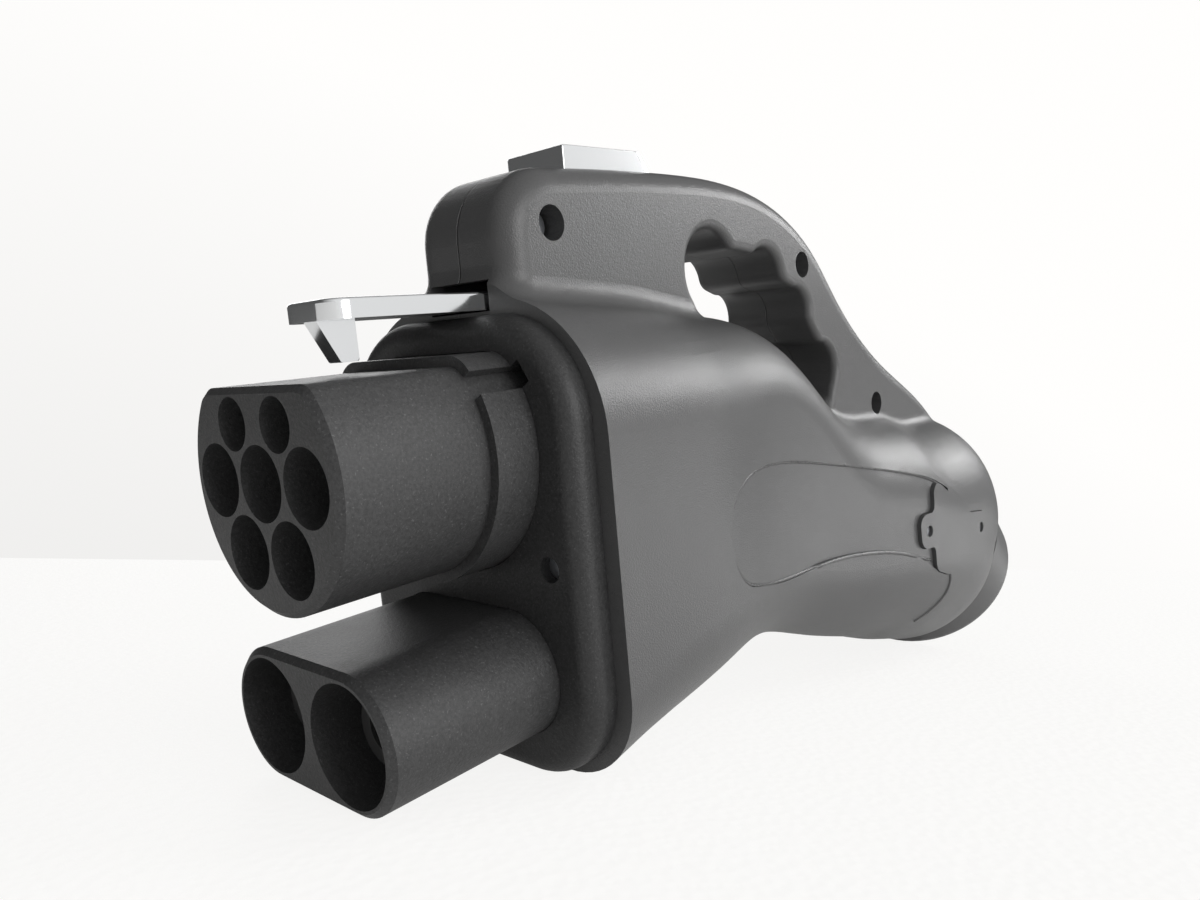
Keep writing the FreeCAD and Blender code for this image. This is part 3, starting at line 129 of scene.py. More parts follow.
class Finish:
    """A material under construction."""

    def __init__(self, name):
        self.material = bpy.data.materials.new(name)
        self.material.use_nodes = True
        self.tree = self.material.node_tree
        self.tree.nodes.clear()
        self.output = self.tree.nodes.new("ShaderNodeOutputMaterial")

    def node(self, kind, settings=None, output=0, **values):
        """Any node: its settings first, then values or links of its sockets."""
        made = self.tree.nodes.new(kind)
        for name, value in (settings or {}).items():
            if name == "stops":
                ramp = made.color_ramp
                while len(ramp.elements) < len(value):
                    ramp.elements.new(0.5)
                for element, (place, colour) in zip(ramp.elements, value):
                    element.position = place
                    element.color = colour
            else:
                setattr(made, name, value)
        for name, value in values.items():
            plug(self.tree, value, made.inputs[name.replace("_", " ")])
        return Signal(self.tree, made.outputs[output])

    def place(self):
        """Object coordinates in millimetres."""
        coordinates = self.tree.nodes.new("ShaderNodeTexCoord")
        mapping = self.tree.nodes.new("ShaderNodeMapping")
        mapping.inputs["Scale"].default_value = (MM_PER_M, MM_PER_M, MM_PER_M)
        self.tree.links.new(coordinates.outputs["Object"], mapping.inputs["Vector"])
        return Signal(self.tree, mapping.outputs[0])

    def noise(self, place, size, detail=2.0, roughness=0.5):
        """Noise from 0 to 1 whose lumps are about size millimetres."""
        return self.node("ShaderNodeTexNoise", Vector=place, Scale=1.0 / size, Detail=detail,
                         Roughness=roughness)

    def ramp(self, factor, stops):
        return self.node("ShaderNodeValToRGB", {"stops": stops}, Fac=factor)

    def mix(self, factor, first, second):
        made = self.tree.nodes.new("ShaderNodeMix")
        made.data_type = "RGBA"
        plug(self.tree, factor, made.inputs["Factor"])
        plug(self.tree, first, made.inputs[6])
        plug(self.tree, second, made.inputs[7])
        return Signal(self.tree, made.outputs[2])

    def level(self, factor, stops):
        """A grey ramp as a single number, from pairs of a place and a level."""
        colours = [(place, grey(level)) for place, level in stops]
        return self.node("ShaderNodeSeparateColor", Color=self.ramp(factor, colours))

    def bump(self, height, distance, strength):
        return self.node("ShaderNodeBump", Height=height, Distance=distance, Strength=strength)

    def surface(self, **values):
        """Finish with the standard surface shader."""
        shader = self.tree.nodes.new("ShaderNodeBsdfPrincipled")
        for name, value in values.items():
            plug(self.tree, value, shader.inputs[name.replace("_", " ")])
        self.tree.links.new(shader.outputs[0], self.output.inputs["Surface"])
        return self.material


def grey(level):
    return (level, level, level, 1.0)


def near(colour, factor):
    return tuple(channel * factor for channel in colour[:3]) + (1.0,)


# The joint line: how far from the middle plane it reaches, in millimetres, its shade and its depth
SEAM_LINE = [(0.0, 1.0), (0.12, 1.0), (0.26, 0.0)]
SEAM_SHADE = 0.12
SEAM_DEPTH = 0.5

# Heights of the finishes' bump in metres; the sizes of their noise are in millimetres
SATIN_RELIEF = 0.001
SAND_RELIEF = 0.00014
RIPPLE_RELIEF = 0.00025
WEAR_RELIEF = 0.00001
SKIN_RELIEF = 0.00002


def satin_moulding(name, colour, roughness, grain, halved):
    """Spark-eroded satin moulding. Where it is halved, the joint line is on the middle plane."""
    make = Finish(name)
    place = make.place()
    speckle = make.noise(place, grain, 2.0, 0.6)
    bloom = make.noise(place, 9.0, 3.0, 0.55)
    patch = make.noise(place, 30.0, 2.0)
    base = make.mix(patch, near(colour, 0.90), near(colour, 1.10))
    base = make.mix(speckle, near(colour, 0.93), base)
    rough = roughness - 0.07 + bloom * 0.06 + patch * 0.06 + speckle * 0.03
    height = speckle * 0.06
    if halved:
        across = make.node("ShaderNodeSeparateXYZ", Vector=place)
        seam = make.level(across.maths("ABSOLUTE", across), SEAM_LINE)
        base = make.mix(seam, base, near(colour, SEAM_SHADE))
        height = height - seam * SEAM_DEPTH
    normal = make.bump(height * 2.0, SATIN_RELIEF, 0.8)
    return make.surface(Base_Color=base, Roughness=rough, Normal=normal, IOR=1.5)


def coarse_moulding(name, colour, roughness, grain):
    """Glass-filled matte moulding: sandy grain, faint pale specks and cloudy patches."""
    make = Finish(name)
    place = make.place()
    speckle = make.noise(place, grain, 3.0, 0.7)
    flecks = make.level(make.noise(place, grain * 0.7, 1.0), [(0.64, 0.0), (0.78, 1.0)])
    patch = make.noise(place, 6.0, 4.0, 0.6)
    sand = make.level(speckle, [(0.36, 0.0), (0.64, 1.0)])
    base = make.mix(patch, near(colour, 0.85), near(colour, 1.25))
    base = make.mix(sand, near(colour, 0.62), base)
    base = make.mix(flecks, base, near(colour, 2.0))
    rough = roughness - 0.06 + patch * 0.12
    normal = make.bump(speckle, SAND_RELIEF, 0.8)
    return make.surface(Base_Color=base, Roughness=rough, Normal=normal, IOR=1.45)


def bright_chrome(colour, roughness):
    """Polished plating over a die casting that isn't perfectly flat."""
    make = Finish("bright_chrome")
    place = make.place()
    ripple = make.noise(place, 4.5, 3.0, 0.6)
    haze = make.noise(place, 1.2, 3.0)
    rough = roughness + haze * 0.05
    normal = make.bump(ripple, RIPPLE_RELIEF, 0.5)
    return make.surface(Base_Color=near(colour, 1.0), Metallic=1.0, Roughness=rough, Normal=normal)


def plain_metal(name, colour, roughness, size):
    """Turned or drawn metal with fine lines of wear."""
    make = Finish(name)
    place = make.place()
    lines = make.noise(place, size, 4.0, 0.7)
    base = make.mix(lines, near(colour, 0.85), near(colour, 1.1))
    rough = roughness - 0.08 + lines * 0.16
    normal = make.bump(lines, WEAR_RELIEF, 0.5)
    return make.surface(Base_Color=base, Metallic=1.0, Roughness=rough, Normal=normal)


def plain_moulding(name, colour, roughness, size):
    """Small moulded or dipped pieces: light variation and a fine skin."""
    make = Finish(name)
    place = make.place()
    skin = make.noise(place, size, 3.0, 0.55)
    base = make.mix(skin, near(colour, 0.88), near(colour, 1.12))
    rough = roughness - 0.05 + skin * 0.1
    normal = make.bump(skin, SKIN_RELIEF, 0.5)
    return make.surface(Base_Color=base, Roughness=rough, Normal=normal)


def solder_mask(colour):
    """Circuit board: lacquer over faint copper tracks."""
    make = Finish("solder_mask")
    place = make.place()
    tracks = make.node("ShaderNodeTexWave", {"bands_direction": "Z", "wave_type": "BANDS"}, 1,
                       Vector=place, Scale=0.45, Distortion=1.5, Detail=0.0)
    line = make.ramp(tracks, [(0.47, grey(0.0)), (0.53, grey(1.0))])
    base = make.mix(line, near(colour, 0.8), near(colour, 1.5))
    return make.surface(Base_Color=base, Roughness=0.35)


def dress(material, *names):
    """Give CAD pieces a finish."""
    for name in names:
        mesh = NODES[name].data
        mesh.materials.clear()
        mesh.materials.append(material)


# Pieces that carry detail the CAD pieces don't. Points this near are merged, in metres, and edges
# flatter or sharper than these angles are dissolved or eased.
MERGE_DISTANCE = 0.000004
PLATED_MERGE = 0.00001
FLAT_ANGLE = math.radians(1.0)
HARD_ANGLE = math.radians(28.0)


def as_mesh(shape, name):
    """A shape made a mesh, which uses the shape up."""
    mesh = bpy.data.meshes.new(name)
    shape.to_mesh(mesh)
    shape.free()
    return mesh


def new_piece(name, mesh, material, body, smooth=30.0):
    """Put a finished mesh into the scene as a piece of the adapter."""
    mesh.materials.clear()
    mesh.materials.append(material)
    if "custom_normal" in mesh.attributes:
        mesh.attributes.remove(mesh.attributes["custom_normal"])
    piece = bpy.data.objects.new(name, mesh)
    bpy.context.scene.collection.objects.link(piece)
    mesh.shade_smooth()
    mesh.set_sharp_from_angle(angle=math.radians(smooth))
    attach(piece, body)
    return piece


def merged_copy(node, distance=MERGE_DISTANCE):
    """The mesh of a CAD piece as one closed skin."""
    shape = bmesh.new()
    shape.from_mesh(NODES[node].data)
    bmesh.ops.remove_doubles(shape, verts=shape.verts, dist=distance)
    return shape


def eased_copy(node, name, width, material, body):
    """The same part with its hard edges eased, as polished plating has them."""
    shape = merged_copy(node, PLATED_MERGE)
    bmesh.ops.dissolve_limit(shape, angle_limit=FLAT_ANGLE, verts=shape.verts, edges=shape.edges)
    hard = [edge for edge in shape.edges
            if len(edge.link_faces) == 2 and edge.calc_face_angle(0.0) > HARD_ANGLE]
    bmesh.ops.bevel(shape, geom=hard, offset=width / MM_PER_M, offset_type="OFFSET", segments=3,
                    profile=0.5, affect="EDGES", clamp_overlap=True, material=-1)
    bmesh.ops.triangulate(shape, faces=[face for face in shape.faces if len(face.verts) > 4])
    piece = new_piece(name, as_mesh(shape, name), material, body, 50.0)
    even = piece.modifiers.new("even_faces", "WEIGHTED_NORMAL")
    even.mode = "FACE_AREA"
    even.weight = 100
    even.keep_sharp = True
    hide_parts(node)


def as_tool(shape, name):
    """A shape that only cuts: an object outside the scene."""
    bmesh.ops.recalc_face_normals(shape, faces=shape.faces)
    return bpy.data.objects.new(name, as_mesh(shape, name))


def carved(shape, name, tools):
    """The mesh that is left when the tools are taken out of a shape."""
    piece = bpy.data.objects.new(name, as_mesh(shape, name))
    scene = bpy.context.scene
    scene.collection.objects.link(piece)
    for tool in tools:
        scene.collection.objects.link(tool)
        cut = piece.modifiers.new(tool.name, "BOOLEAN")
        cut.operation = "DIFFERENCE"
        cut.solver = "EXACT"
        cut.object = tool
    view = bpy.context.evaluated_depsgraph_get()
    left = bpy.data.meshes.new_from_object(piece.evaluated_get(view))
    for done in [piece] + list(tools):
        old = done.data
        bpy.data.objects.remove(done)
        bpy.data.meshes.remove(old)
    return left


# Steps of a flat-topped bar's half outline: round its bottom and side, and round its corner
ROUND_STEPS = 44
CORNER_STEPS = 9


def flat_topped(radius, flat, corner, start, end, hollow=0.0):
    """A round bar with a flat top and eased corners between two depths, solid or as a ring."""
    shape = bmesh.new()
    middle = Vector((math.sqrt((radius - corner) ** 2 - (flat - corner) ** 2), start, flat - corner))
    lean = math.atan2(middle.z, middle.x)
    axis = Vector((0.0, -1.0, 0.0))
    first = bmesh.ops.create_vert(shape, co=(0.0, start, -radius))["vert"]
    bmesh.ops.spin(shape, geom=first, cent=(0.0, start, 0.0), axis=axis, angle=lean + math.pi / 2,
                   steps=ROUND_STEPS)
    shape.verts.ensure_lookup_table()
    last = max(shape.verts, key=lambda vert: vert.co.z)
    bmesh.ops.spin(shape, geom=[last], cent=middle, axis=axis, angle=math.pi / 2 - lean,
                   steps=CORNER_STEPS)
    bmesh.ops.mirror(shape, geom=shape.verts[:] + shape.edges[:], axis="X", merge_dist=0.001)
    shape.verts.ensure_lookup_table()
    ends = sorted(shape.verts, key=lambda vert: vert.co.z)[-2:]
    shape.edges.new(ends)
    face = bmesh.ops.contextual_create(shape, geom=shape.edges[:])["faces"][0]
    if hollow:
        bmesh.ops.inset_individual(shape, faces=[face], thickness=hollow, use_even_offset=True)
        bmesh.ops.delete(shape, geom=[face], context="FACES_ONLY")
    made = bmesh.ops.extrude_face_region(shape, geom=shape.faces[:], use_keep_orig=True)["geom"]
    bmesh.ops.translate(shape, verts=[item for item in made if isinstance(item, bmesh.types.BMVert)],
                        vec=(0.0, end - start, 0.0))
    bmesh.ops.transform(shape, matrix=TO_REST, verts=shape.verts)
    bmesh.ops.recalc_face_normals(shape, faces=shape.faces)
    return shape


def key_bar(side, inner, outer, start, end):
    """The bar that a keyway is cut with, on the radius that runs through the keyway's middle."""
    shape = bmesh.new()
    bmesh.ops.create_cube(shape, size=1.0)
    bmesh.ops.scale(shape, verts=shape.verts, vec=(outer - inner, end - start, KEY_WIDTH))
    bmesh.ops.translate(shape, verts=shape.verts, vec=((outer + inner) / 2, (end + start) / 2, 0.0))
    bmesh.ops.transform(shape, matrix=Matrix.Rotation(-KEY_ANGLE, 4, "Y"), verts=shape.verts)
    if side < 0:
        bmesh.ops.scale(shape, verts=shape.verts, vec=(-1.0, 1.0, 1.0))
    bmesh.ops.transform(shape, matrix=TO_REST, verts=shape.verts)
    return as_tool(shape, "key_tool")


def plug_bar(side):
    """A round bar that fills one of the flange's own notches."""
    shape = bmesh.new()
    bmesh.ops.create_cone(shape, cap_ends=True, segments=48, radius1=PLUG_RADIUS, radius2=PLUG_RADIUS,
                          depth=PLUG_LENGTH)
    bmesh.ops.rotate(shape, verts=shape.verts, cent=(0.0, 0.0, 0.0),
                     matrix=Matrix.Rotation(math.pi / 2, 3, "X"))
    bmesh.ops.translate(shape, verts=shape.verts, vec=(side * PLUG_PLACE[0], PLUG_DEPTH, PLUG_PLACE[1]))
    bmesh.ops.transform(shape, matrix=TO_REST, verts=shape.verts)
    return as_mesh(shape, "fill")


def joined(name, meshes):
    """Several meshes as one."""
    shape = bmesh.new()
    for mesh in meshes:
        shape.from_mesh(mesh)
        bpy.data.meshes.remove(mesh)
    return as_mesh(shape, name)


# How far out a line on the flank is drawn before it is dropped, in millimetres, and its fineness
FLANK_REACH = 90.0
LINE_STEPS = 6


def on_flank(node, points):
    """Points of a line drawn in the side view, dropped on the left flank of a CAD piece."""
    line = bpy.data.curves.new("flank_line", "CURVE")
    line.dimensions = "3D"
    line.resolution_u = LINE_STEPS
    spline = line.splines.new("NURBS")
    spline.points.add(len(points) - 1)
    for point, (y, z) in zip(spline.points, points):
        point.co = (0.0, y, z, 1.0)
    spline.order_u = 4
    spline.use_endpoint_u = True
    guide = bpy.data.objects.new("flank_line", line)
    flat = bpy.data.meshes.new_from_object(guide)
    spots = []
    for vert in flat.vertices:
        start = rest(FLANK_REACH, vert.co.y, vert.co.z)
        found, place, normal = NODES[node].ray_cast(start, Vector((-1.0, 0.0, 0.0)),
                                                    distance=FLANK_REACH / MM_PER_M)[:3]
        if found:
            spots.append((place, normal))
    bpy.data.objects.remove(guide)
    bpy.data.curves.remove(line)
    bpy.data.meshes.remove(flat)
    return spots


def moulded_bead(name, node, points, radius, sunk, material, body):
    """A fine raised line moulded on the flank, from its corner points in the side view."""
    spots = on_flank(node, points)
    line = bpy.data.curves.new(name, "CURVE")
    line.dimensions = "3D"
    line.bevel_depth = radius / MM_PER_M
    line.bevel_resolution = 2
    line.use_fill_caps = True
    spline = line.splines.new("POLY")
    spline.points.add(len(spots) - 1)
    for point, (place, normal) in zip(spline.points, spots):
        point.co = (*(place - normal * sunk / MM_PER_M), 1.0)
    guide = bpy.data.objects.new(name, line)
    mesh = bpy.data.meshes.new_from_object(guide)
    bpy.data.objects.remove(guide)
    bpy.data.curves.remove(line)
    new_piece(name, mesh, material, body, 60.0)


# Settings that a user would change

class AdapterSettings(bpy.types.PropertyGroup):
    housing_colour: FloatVectorProperty(
        name="Housing colour", description="Colour of the moulded housing", subtype="COLOR", size=3,
        min=0.0, max=1.0, default=(0.070, 0.070, 0.0705))
    housing_roughness: FloatProperty(
        name="Housing roughness", description="Gloss of the housing, from 0 polished to 1 matte",
        subtype="FACTOR", min=0.0, max=1.0, default=0.33)
    housing_grain: FloatProperty(
        name="Housing grain", description="Size of the moulded grain in millimetres", min=0.05, max=5.0,
        default=0.36)
    block_colour: FloatVectorProperty(
        name="Block colour", description="Colour of the contact blocks and the flange",
        subtype="COLOR", size=3, min=0.0, max=1.0, default=(0.045, 0.045, 0.0455))
    block_roughness: FloatProperty(
        name="Block roughness", description="Gloss of the contact blocks", subtype="FACTOR", min=0.0,
        max=1.0, default=0.47)
    chrome_colour: FloatVectorProperty(
        name="Chrome colour", description="Colour of the latch and button plating", subtype="COLOR",
        size=3, min=0.0, max=1.0, default=(0.86, 0.87, 0.88))
    chrome_roughness: FloatProperty(
        name="Chrome roughness", description="Haze of the plating", subtype="FACTOR", min=0.0, max=1.0,
        default=0.06)
    plating_edge: FloatProperty(
        name="Plated edge", description="Easing of the plated parts' edges in millimetres", min=0.05,
        max=1.5, default=0.8)
    bead_radius: FloatProperty(
        name="Recess line", description="Radius of the raised line round the recess in millimetres",
        min=0.1, max=1.5, default=0.6)
    floor_colour: FloatVectorProperty(
        name="Floor colour", description="Colour of the table top", subtype="COLOR", size=3, min=0.0,
        max=1.0, default=(0.97, 0.965, 0.955))
    floor_shown: FloatProperty(
        name="Floor white", description="How much of the table's white is its own, not the light's",
        subtype="FACTOR", min=0.0, max=1.0, default=0.88)
    key_power: FloatProperty(
        name="Back window", description="Power of the soft light behind and above", subtype="POWER",
        unit="POWER", min=0.0, default=12.0)
    side_power: FloatProperty(
        name="Side window", description="Power of the soft light at the side", subtype="POWER",
        unit="POWER", min=0.0, default=13.0)
    left_power: FloatProperty(
        name="Left window", description="Power of the soft light on the far side", subtype="POWER",
        unit="POWER", min=0.0, default=7.0)
    low_power: FloatProperty(
        name="Low glow", description="Power of the strip of light close to the table", subtype="POWER",
        unit="POWER", min=0.0, default=0.5)
    fill_strength: FloatProperty(
        name="Fill light", description="Strength of the light from all round", min=0.0, default=0.55)


# Size of the blocks' grain in millimetres, and the painted shade of the flange and the recess line: how
# much darker than their plastic they are painted
SAND_SIZE = 0.7
FLANGE_PAINTED_SHADE = 0.7
BEAD_PAINTED_SHADE = 0.8
BEAD_GLOSS = 0.06


class ADAPTER_OT_finishes(bpy.types.Operator):
    """Give every piece of the adapter its finish"""
    bl_idname = "adapter.finishes"
    bl_label = "Finish the pieces"

    def execute(self, context):
        settings = context.scene.adapter
        housing = satin_moulding("satin_moulding", settings.housing_colour, settings.housing_roughness,
                                 settings.housing_grain, True)
        cover = satin_moulding("cover_moulding", settings.housing_colour, settings.housing_roughness,
                               settings.housing_grain, False)
        block = coarse_moulding("coarse_moulding", settings.block_colour, settings.block_roughness,
                                SAND_SIZE)
        # Painted shade: the flange is the blocks' plastic, painted darker for the shadow it sits in.
        flange = coarse_moulding("flange_moulding", near(settings.block_colour, FLANGE_PAINTED_SHADE),
                                 settings.block_roughness, SAND_SIZE)
        chrome = bright_chrome(settings.chrome_colour, settings.chrome_roughness)
        silver = plain_metal("contact_silver", (0.80, 0.78, 0.74), 0.25, 0.6)
        zinc = plain_metal("zinc_screw", (0.30, 0.31, 0.33), 0.40, 0.5)
        wire = plain_metal("spring_wire", (0.62, 0.63, 0.65), 0.30, 0.4)
        dress(housing, "housing_left", "housing_right")
        dress(cover, "service_cover")
        # Painted shade: the recess line is the housing's plastic painted darker, for the dark side of the
        # line, and made glossier.
        satin_moulding("bead_moulding", near(settings.housing_colour, BEAD_PAINTED_SHADE),
                       settings.housing_roughness - BEAD_GLOSS, settings.housing_grain, False)
        dress(flange, "front_flange")
        dress(block, "ac_contact_block", "dc_contact_block", "inlet_shell",
              "inlet_pin_carrier", "contact_retainer")
        dress(chrome, "latch_lever", "release_button")
        dress(silver, "earth_contact", "proximity_contact", "pilot_contact", "dc_contact_plus",
              "dc_contact_minus", "inlet_pin_plus", "inlet_pin_minus", "inlet_earth_pin",
              "inlet_signal_pins")
        dress(zinc, "housing_screws", "flange_screws", "cover_screws", "retainer_screws", "board_screws",
              "service_socket")
        dress(wire, "latch_pin", "latch_spring")
        dress(plain_moulding("seal_rubber", (0.02, 0.02, 0.02), 0.7, 0.8), "flange_seal", "cover_seal",
              "inlet_seal")
        dress(plain_moulding("tip_insulator", (0.03, 0.03, 0.03), 0.45, 1.5), "contact_tip_caps")
        dress(plain_moulding("black_parts", (0.02, 0.02, 0.02), 0.5, 1.0), "latch_switch", "board_parts")
        dress(plain_moulding("orange_lead", (0.75, 0.20, 0.03), 0.5, 1.5), "dc_lead_plus", "dc_lead_minus")
        dress(plain_moulding("green_lead", (0.10, 0.36, 0.08), 0.5, 1.5), "earth_lead")
        dress(plain_moulding("grey_lead", (0.30, 0.30, 0.31), 0.5, 1.0), "signal_leads")
        dress(plain_moulding("cell_wrap", (0.06, 0.20, 0.42), 0.25, 6.0), "battery_cell")
        dress(solder_mask((0.02, 0.16, 0.07)), "control_board", "service_board")
        return {"FINISHED"}


# Keyways of the AC block's collar and the flange, millimetres in the plug's frame
KEY_ANGLE = math.radians(32.0)
KEY_WIDTH = 5.3
KEY_INNER = 20.0
KEY_OUTER = 30.6
KEY_PAST_COLLAR = 34.0
KEY_END = 50.0
KEY_SPARE = 2.0

# The collar, as radius, height of the flat and corner, and the outline that the old one is cut by
COLLAR_OUTLINE = (28.2, 20.4, 7.2)
COLLAR_WALL = 3.4
COLLAR_FRONT = 34.0
CUT_OUTLINE = (34.0, 26.2, 13.0)
CUT_WALL = 8.05
CUT_SPARE = 0.02

# The flange's front, and the bars that fill its own notches
FLANGE_FRONT = 45.0
PLUG_PLACE = (19.57, 19.85)
PLUG_RADIUS = 3.02
PLUG_LENGTH = 4.9
PLUG_DEPTH = FLANGE_FRONT + 2.46


class ADAPTER_OT_keyways(bpy.types.Operator):
    """Cut the keyways through the AC block's collar and into the flange"""
    bl_idname = "adapter.keyways"
    bl_label = "Cut the keyways"

    def execute(self, context):
        block = bpy.data.materials["coarse_moulding"]
        ring = flat_topped(*CUT_OUTLINE, COLLAR_FRONT - CUT_SPARE, KEY_END, CUT_WALL)
        barrel = carved(merged_copy("ac_contact_block"), "barrel", [as_tool(ring, "collar_tool")])
        collar = flat_topped(*COLLAR_OUTLINE, COLLAR_FRONT, KEY_END, COLLAR_WALL)
        keys = [key_bar(side, KEY_INNER, KEY_PAST_COLLAR, COLLAR_FRONT - KEY_SPARE, KEY_END + 1.0)
                for side in (-1, 1)]
        collar = carved(collar, "collar", keys)
        piece = new_piece("keyed_block", joined("keyed_block", [barrel, collar]), block,
                          "adapter")
        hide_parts("ac_contact_block")
        keys = [key_bar(side, KEY_INNER, KEY_OUTER, FLANGE_FRONT - KEY_SPARE, KEY_END) for side in (-1, 1)]
        flange = carved(merged_copy("front_flange"), "flange", keys)
        fills = [plug_bar(side) for side in (-1, 1)]
        piece = new_piece("keyed_flange", joined("keyed_flange", [flange] + fills),
                          bpy.data.materials["flange_moulding"], "adapter")
        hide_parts("front_flange")
        return {"FINISHED"}


# How much more the button's edges are eased than the latch's
BUTTON_EDGE = 1.6


class ADAPTER_OT_plating(bpy.types.Operator):
    """Ease the hard edges of the plated latch and button"""
    bl_idname = "adapter.plating"
    bl_label = "Ease the plated edges"

    def execute(self, context):
        width = context.scene.adapter.plating_edge
        chrome = bpy.data.materials["bright_chrome"]
        eased_copy("latch_lever", "plated_latch", width, chrome, "latch")
        eased_copy("release_button", "plated_button", width * BUTTON_EDGE, chrome,
                   "button")
        return {"FINISHED"}


class ADAPTER_OT_spring(bpy.types.Operator):
    """Put the return spring in as a piece with a mesh of its own"""
    bl_idname = "adapter.spring"
    bl_label = "Shorten the spring"

    def execute(self, context):
        mesh = as_mesh(merged_copy("latch_spring"), "return_spring")
        piece = new_piece("return_spring", mesh, bpy.data.materials["spring_wire"],
                          "adapter", 60.0)
        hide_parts("latch_spring")
        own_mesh(piece)
        return {"FINISHED"}


# Outline of the label recess in the side view, millimetres in the plug's frame, and the share of the
# raised line's radius that is sunk in the flank
RECESS_EDGE = [
    (230.0, -42.0), (225.0, -39.5), (219.0, -36.8), (205.5, -32.7), (183.0, -27.3), (163.0, -22.9),
    (143.0, -18.6), (127.0, -16.3), (113.0, -16.0), (103.0, -18.4), (97.3, -23.8), (96.2, -31.0),
    (99.0, -38.8), (105.0, -43.8), (113.0, -46.2), (125.0, -49.0), (139.0, -50.6), (154.0, -51.2),
    (170.0, -52.4), (193.9, -56.7), (207.7, -62.3), (219.0, -66.0), (227.0, -70.0), (230.5, -76.5),
    (228.0, -83.5), (219.0, -89.0)]
BEAD_SUNK = 0.2


class ADAPTER_OT_beads(bpy.types.Operator):
    """Mould the fine raised line round the label recess"""
    bl_idname = "adapter.beads"
    bl_label = "Mould the recess line"

    def execute(self, context):
        radius = context.scene.adapter.bead_radius
        moulded_bead("recess_bead", "housing_left", RECESS_EDGE, radius, radius * BEAD_SUNK,
                     bpy.data.materials["bead_moulding"], "adapter")
        return {"FINISHED"}


def ray_kinds(tree, rays):
    """Whether a ray comes from the camera, from a glossy surface or through a clear one."""
    return [Signal(tree, rays.outputs[name])
            for name in ("Is Camera Ray", "Is Glossy Ray", "Is Transmission Ray")]


# How much of its own white the table shows in the gloss of the object, and the depth of its cells
TABLE_MIRRORED = 0.3
FOAM_RELIEF = 0.0011


def foam_table(colour, shown):
    """Table top of pale closed-cell foam: small soft cells, and part of its white is its own."""
    make = Finish("foam_table")
    place = make.place()
    cells = make.node("ShaderNodeTexVoronoi", {"feature": "SMOOTH_F1"}, Vector=place, Scale=1.0 / 2.6,
                      Smoothness=0.6)
    crumple = make.noise(place, 7.0, 3.0)
    patch = make.noise(place, 60.0, 2.0)
    base = make.mix(patch, near(colour, 0.97), near(colour, 1.02))
    normal = make.bump(cells * 0.7 + crumple * 0.5, FOAM_RELIEF, 0.5)
    make.surface(Base_Color=base, Roughness=0.55, Normal=normal)
    lit = make.output.inputs["Surface"].links[0].from_socket
    own = make.tree.nodes.new("ShaderNodeEmission")
    own.inputs["Color"].default_value = near(colour, 1.03)
    rays = make.tree.nodes.new("ShaderNodeLightPath")
    camera_ray, glossy_ray, clear_ray = ray_kinds(make.tree, rays)
    seen = camera_ray.maths("MAXIMUM", camera_ray, glossy_ray * TABLE_MIRRORED)
    seen = seen.maths("MAXIMUM", seen, clear_ray)
    both = make.tree.nodes.new("ShaderNodeMixShader")
    plug(make.tree, seen * shown, both.inputs[0])
    make.tree.links.new(lit, both.inputs[1])
    make.tree.links.new(own.outputs[0], both.inputs[2])
    make.tree.links.new(both.outputs[0], make.output.inputs["Surface"])
    return make.material


def flat_sheet(name, corners, material):
    """A flat stage piece from its corners."""
    shape = bmesh.new()
    bmesh.ops.create_grid(shape, x_segments=1, y_segments=1, size=1.0)
    order = sorted(shape.verts, key=lambda vert: math.atan2(vert.co.y, vert.co.x))
    for vert, corner in zip(order, corners):
        vert.co = corner
    bmesh.ops.recalc_face_normals(shape, faces=shape.faces)
    if list(shape.faces)[0].normal.z < 0.0:
        bmesh.ops.reverse_faces(shape, faces=list(shape.faces))
    sheet = bpy.data.objects.new(name, as_mesh(shape, name))
    bpy.context.scene.collection.objects.link(sheet)
    sheet.data.materials.append(material)


def soft_light(name, place, size, power):
    """A rectangular softbox that faces the middle of the object."""
    lamp = bpy.data.lights.new(name, "AREA")
    lamp.shape = "RECTANGLE"
    lamp.size, lamp.size_y = size
    lamp.energy = power
    made = bpy.data.objects.new(name, lamp)
    made.location = place
    direction = Vector(LIGHT_AIM) - Vector(place)
    made.rotation_euler = direction.to_track_quat("-Z", "Y").to_euler()
    made.visible_camera = False
    bpy.context.scene.collection.objects.link(made)


# The room: its wall's white, its darkest part in the gloss and how softly that is reached, and the
# light that is even all round
WALL_WHITE = (1.0, 0.993, 0.982, 1.0)
ROOM_DARKEST = 0.12
ROOM_SOFTNESS = 0.1
EVEN_LIGHT = 0.16


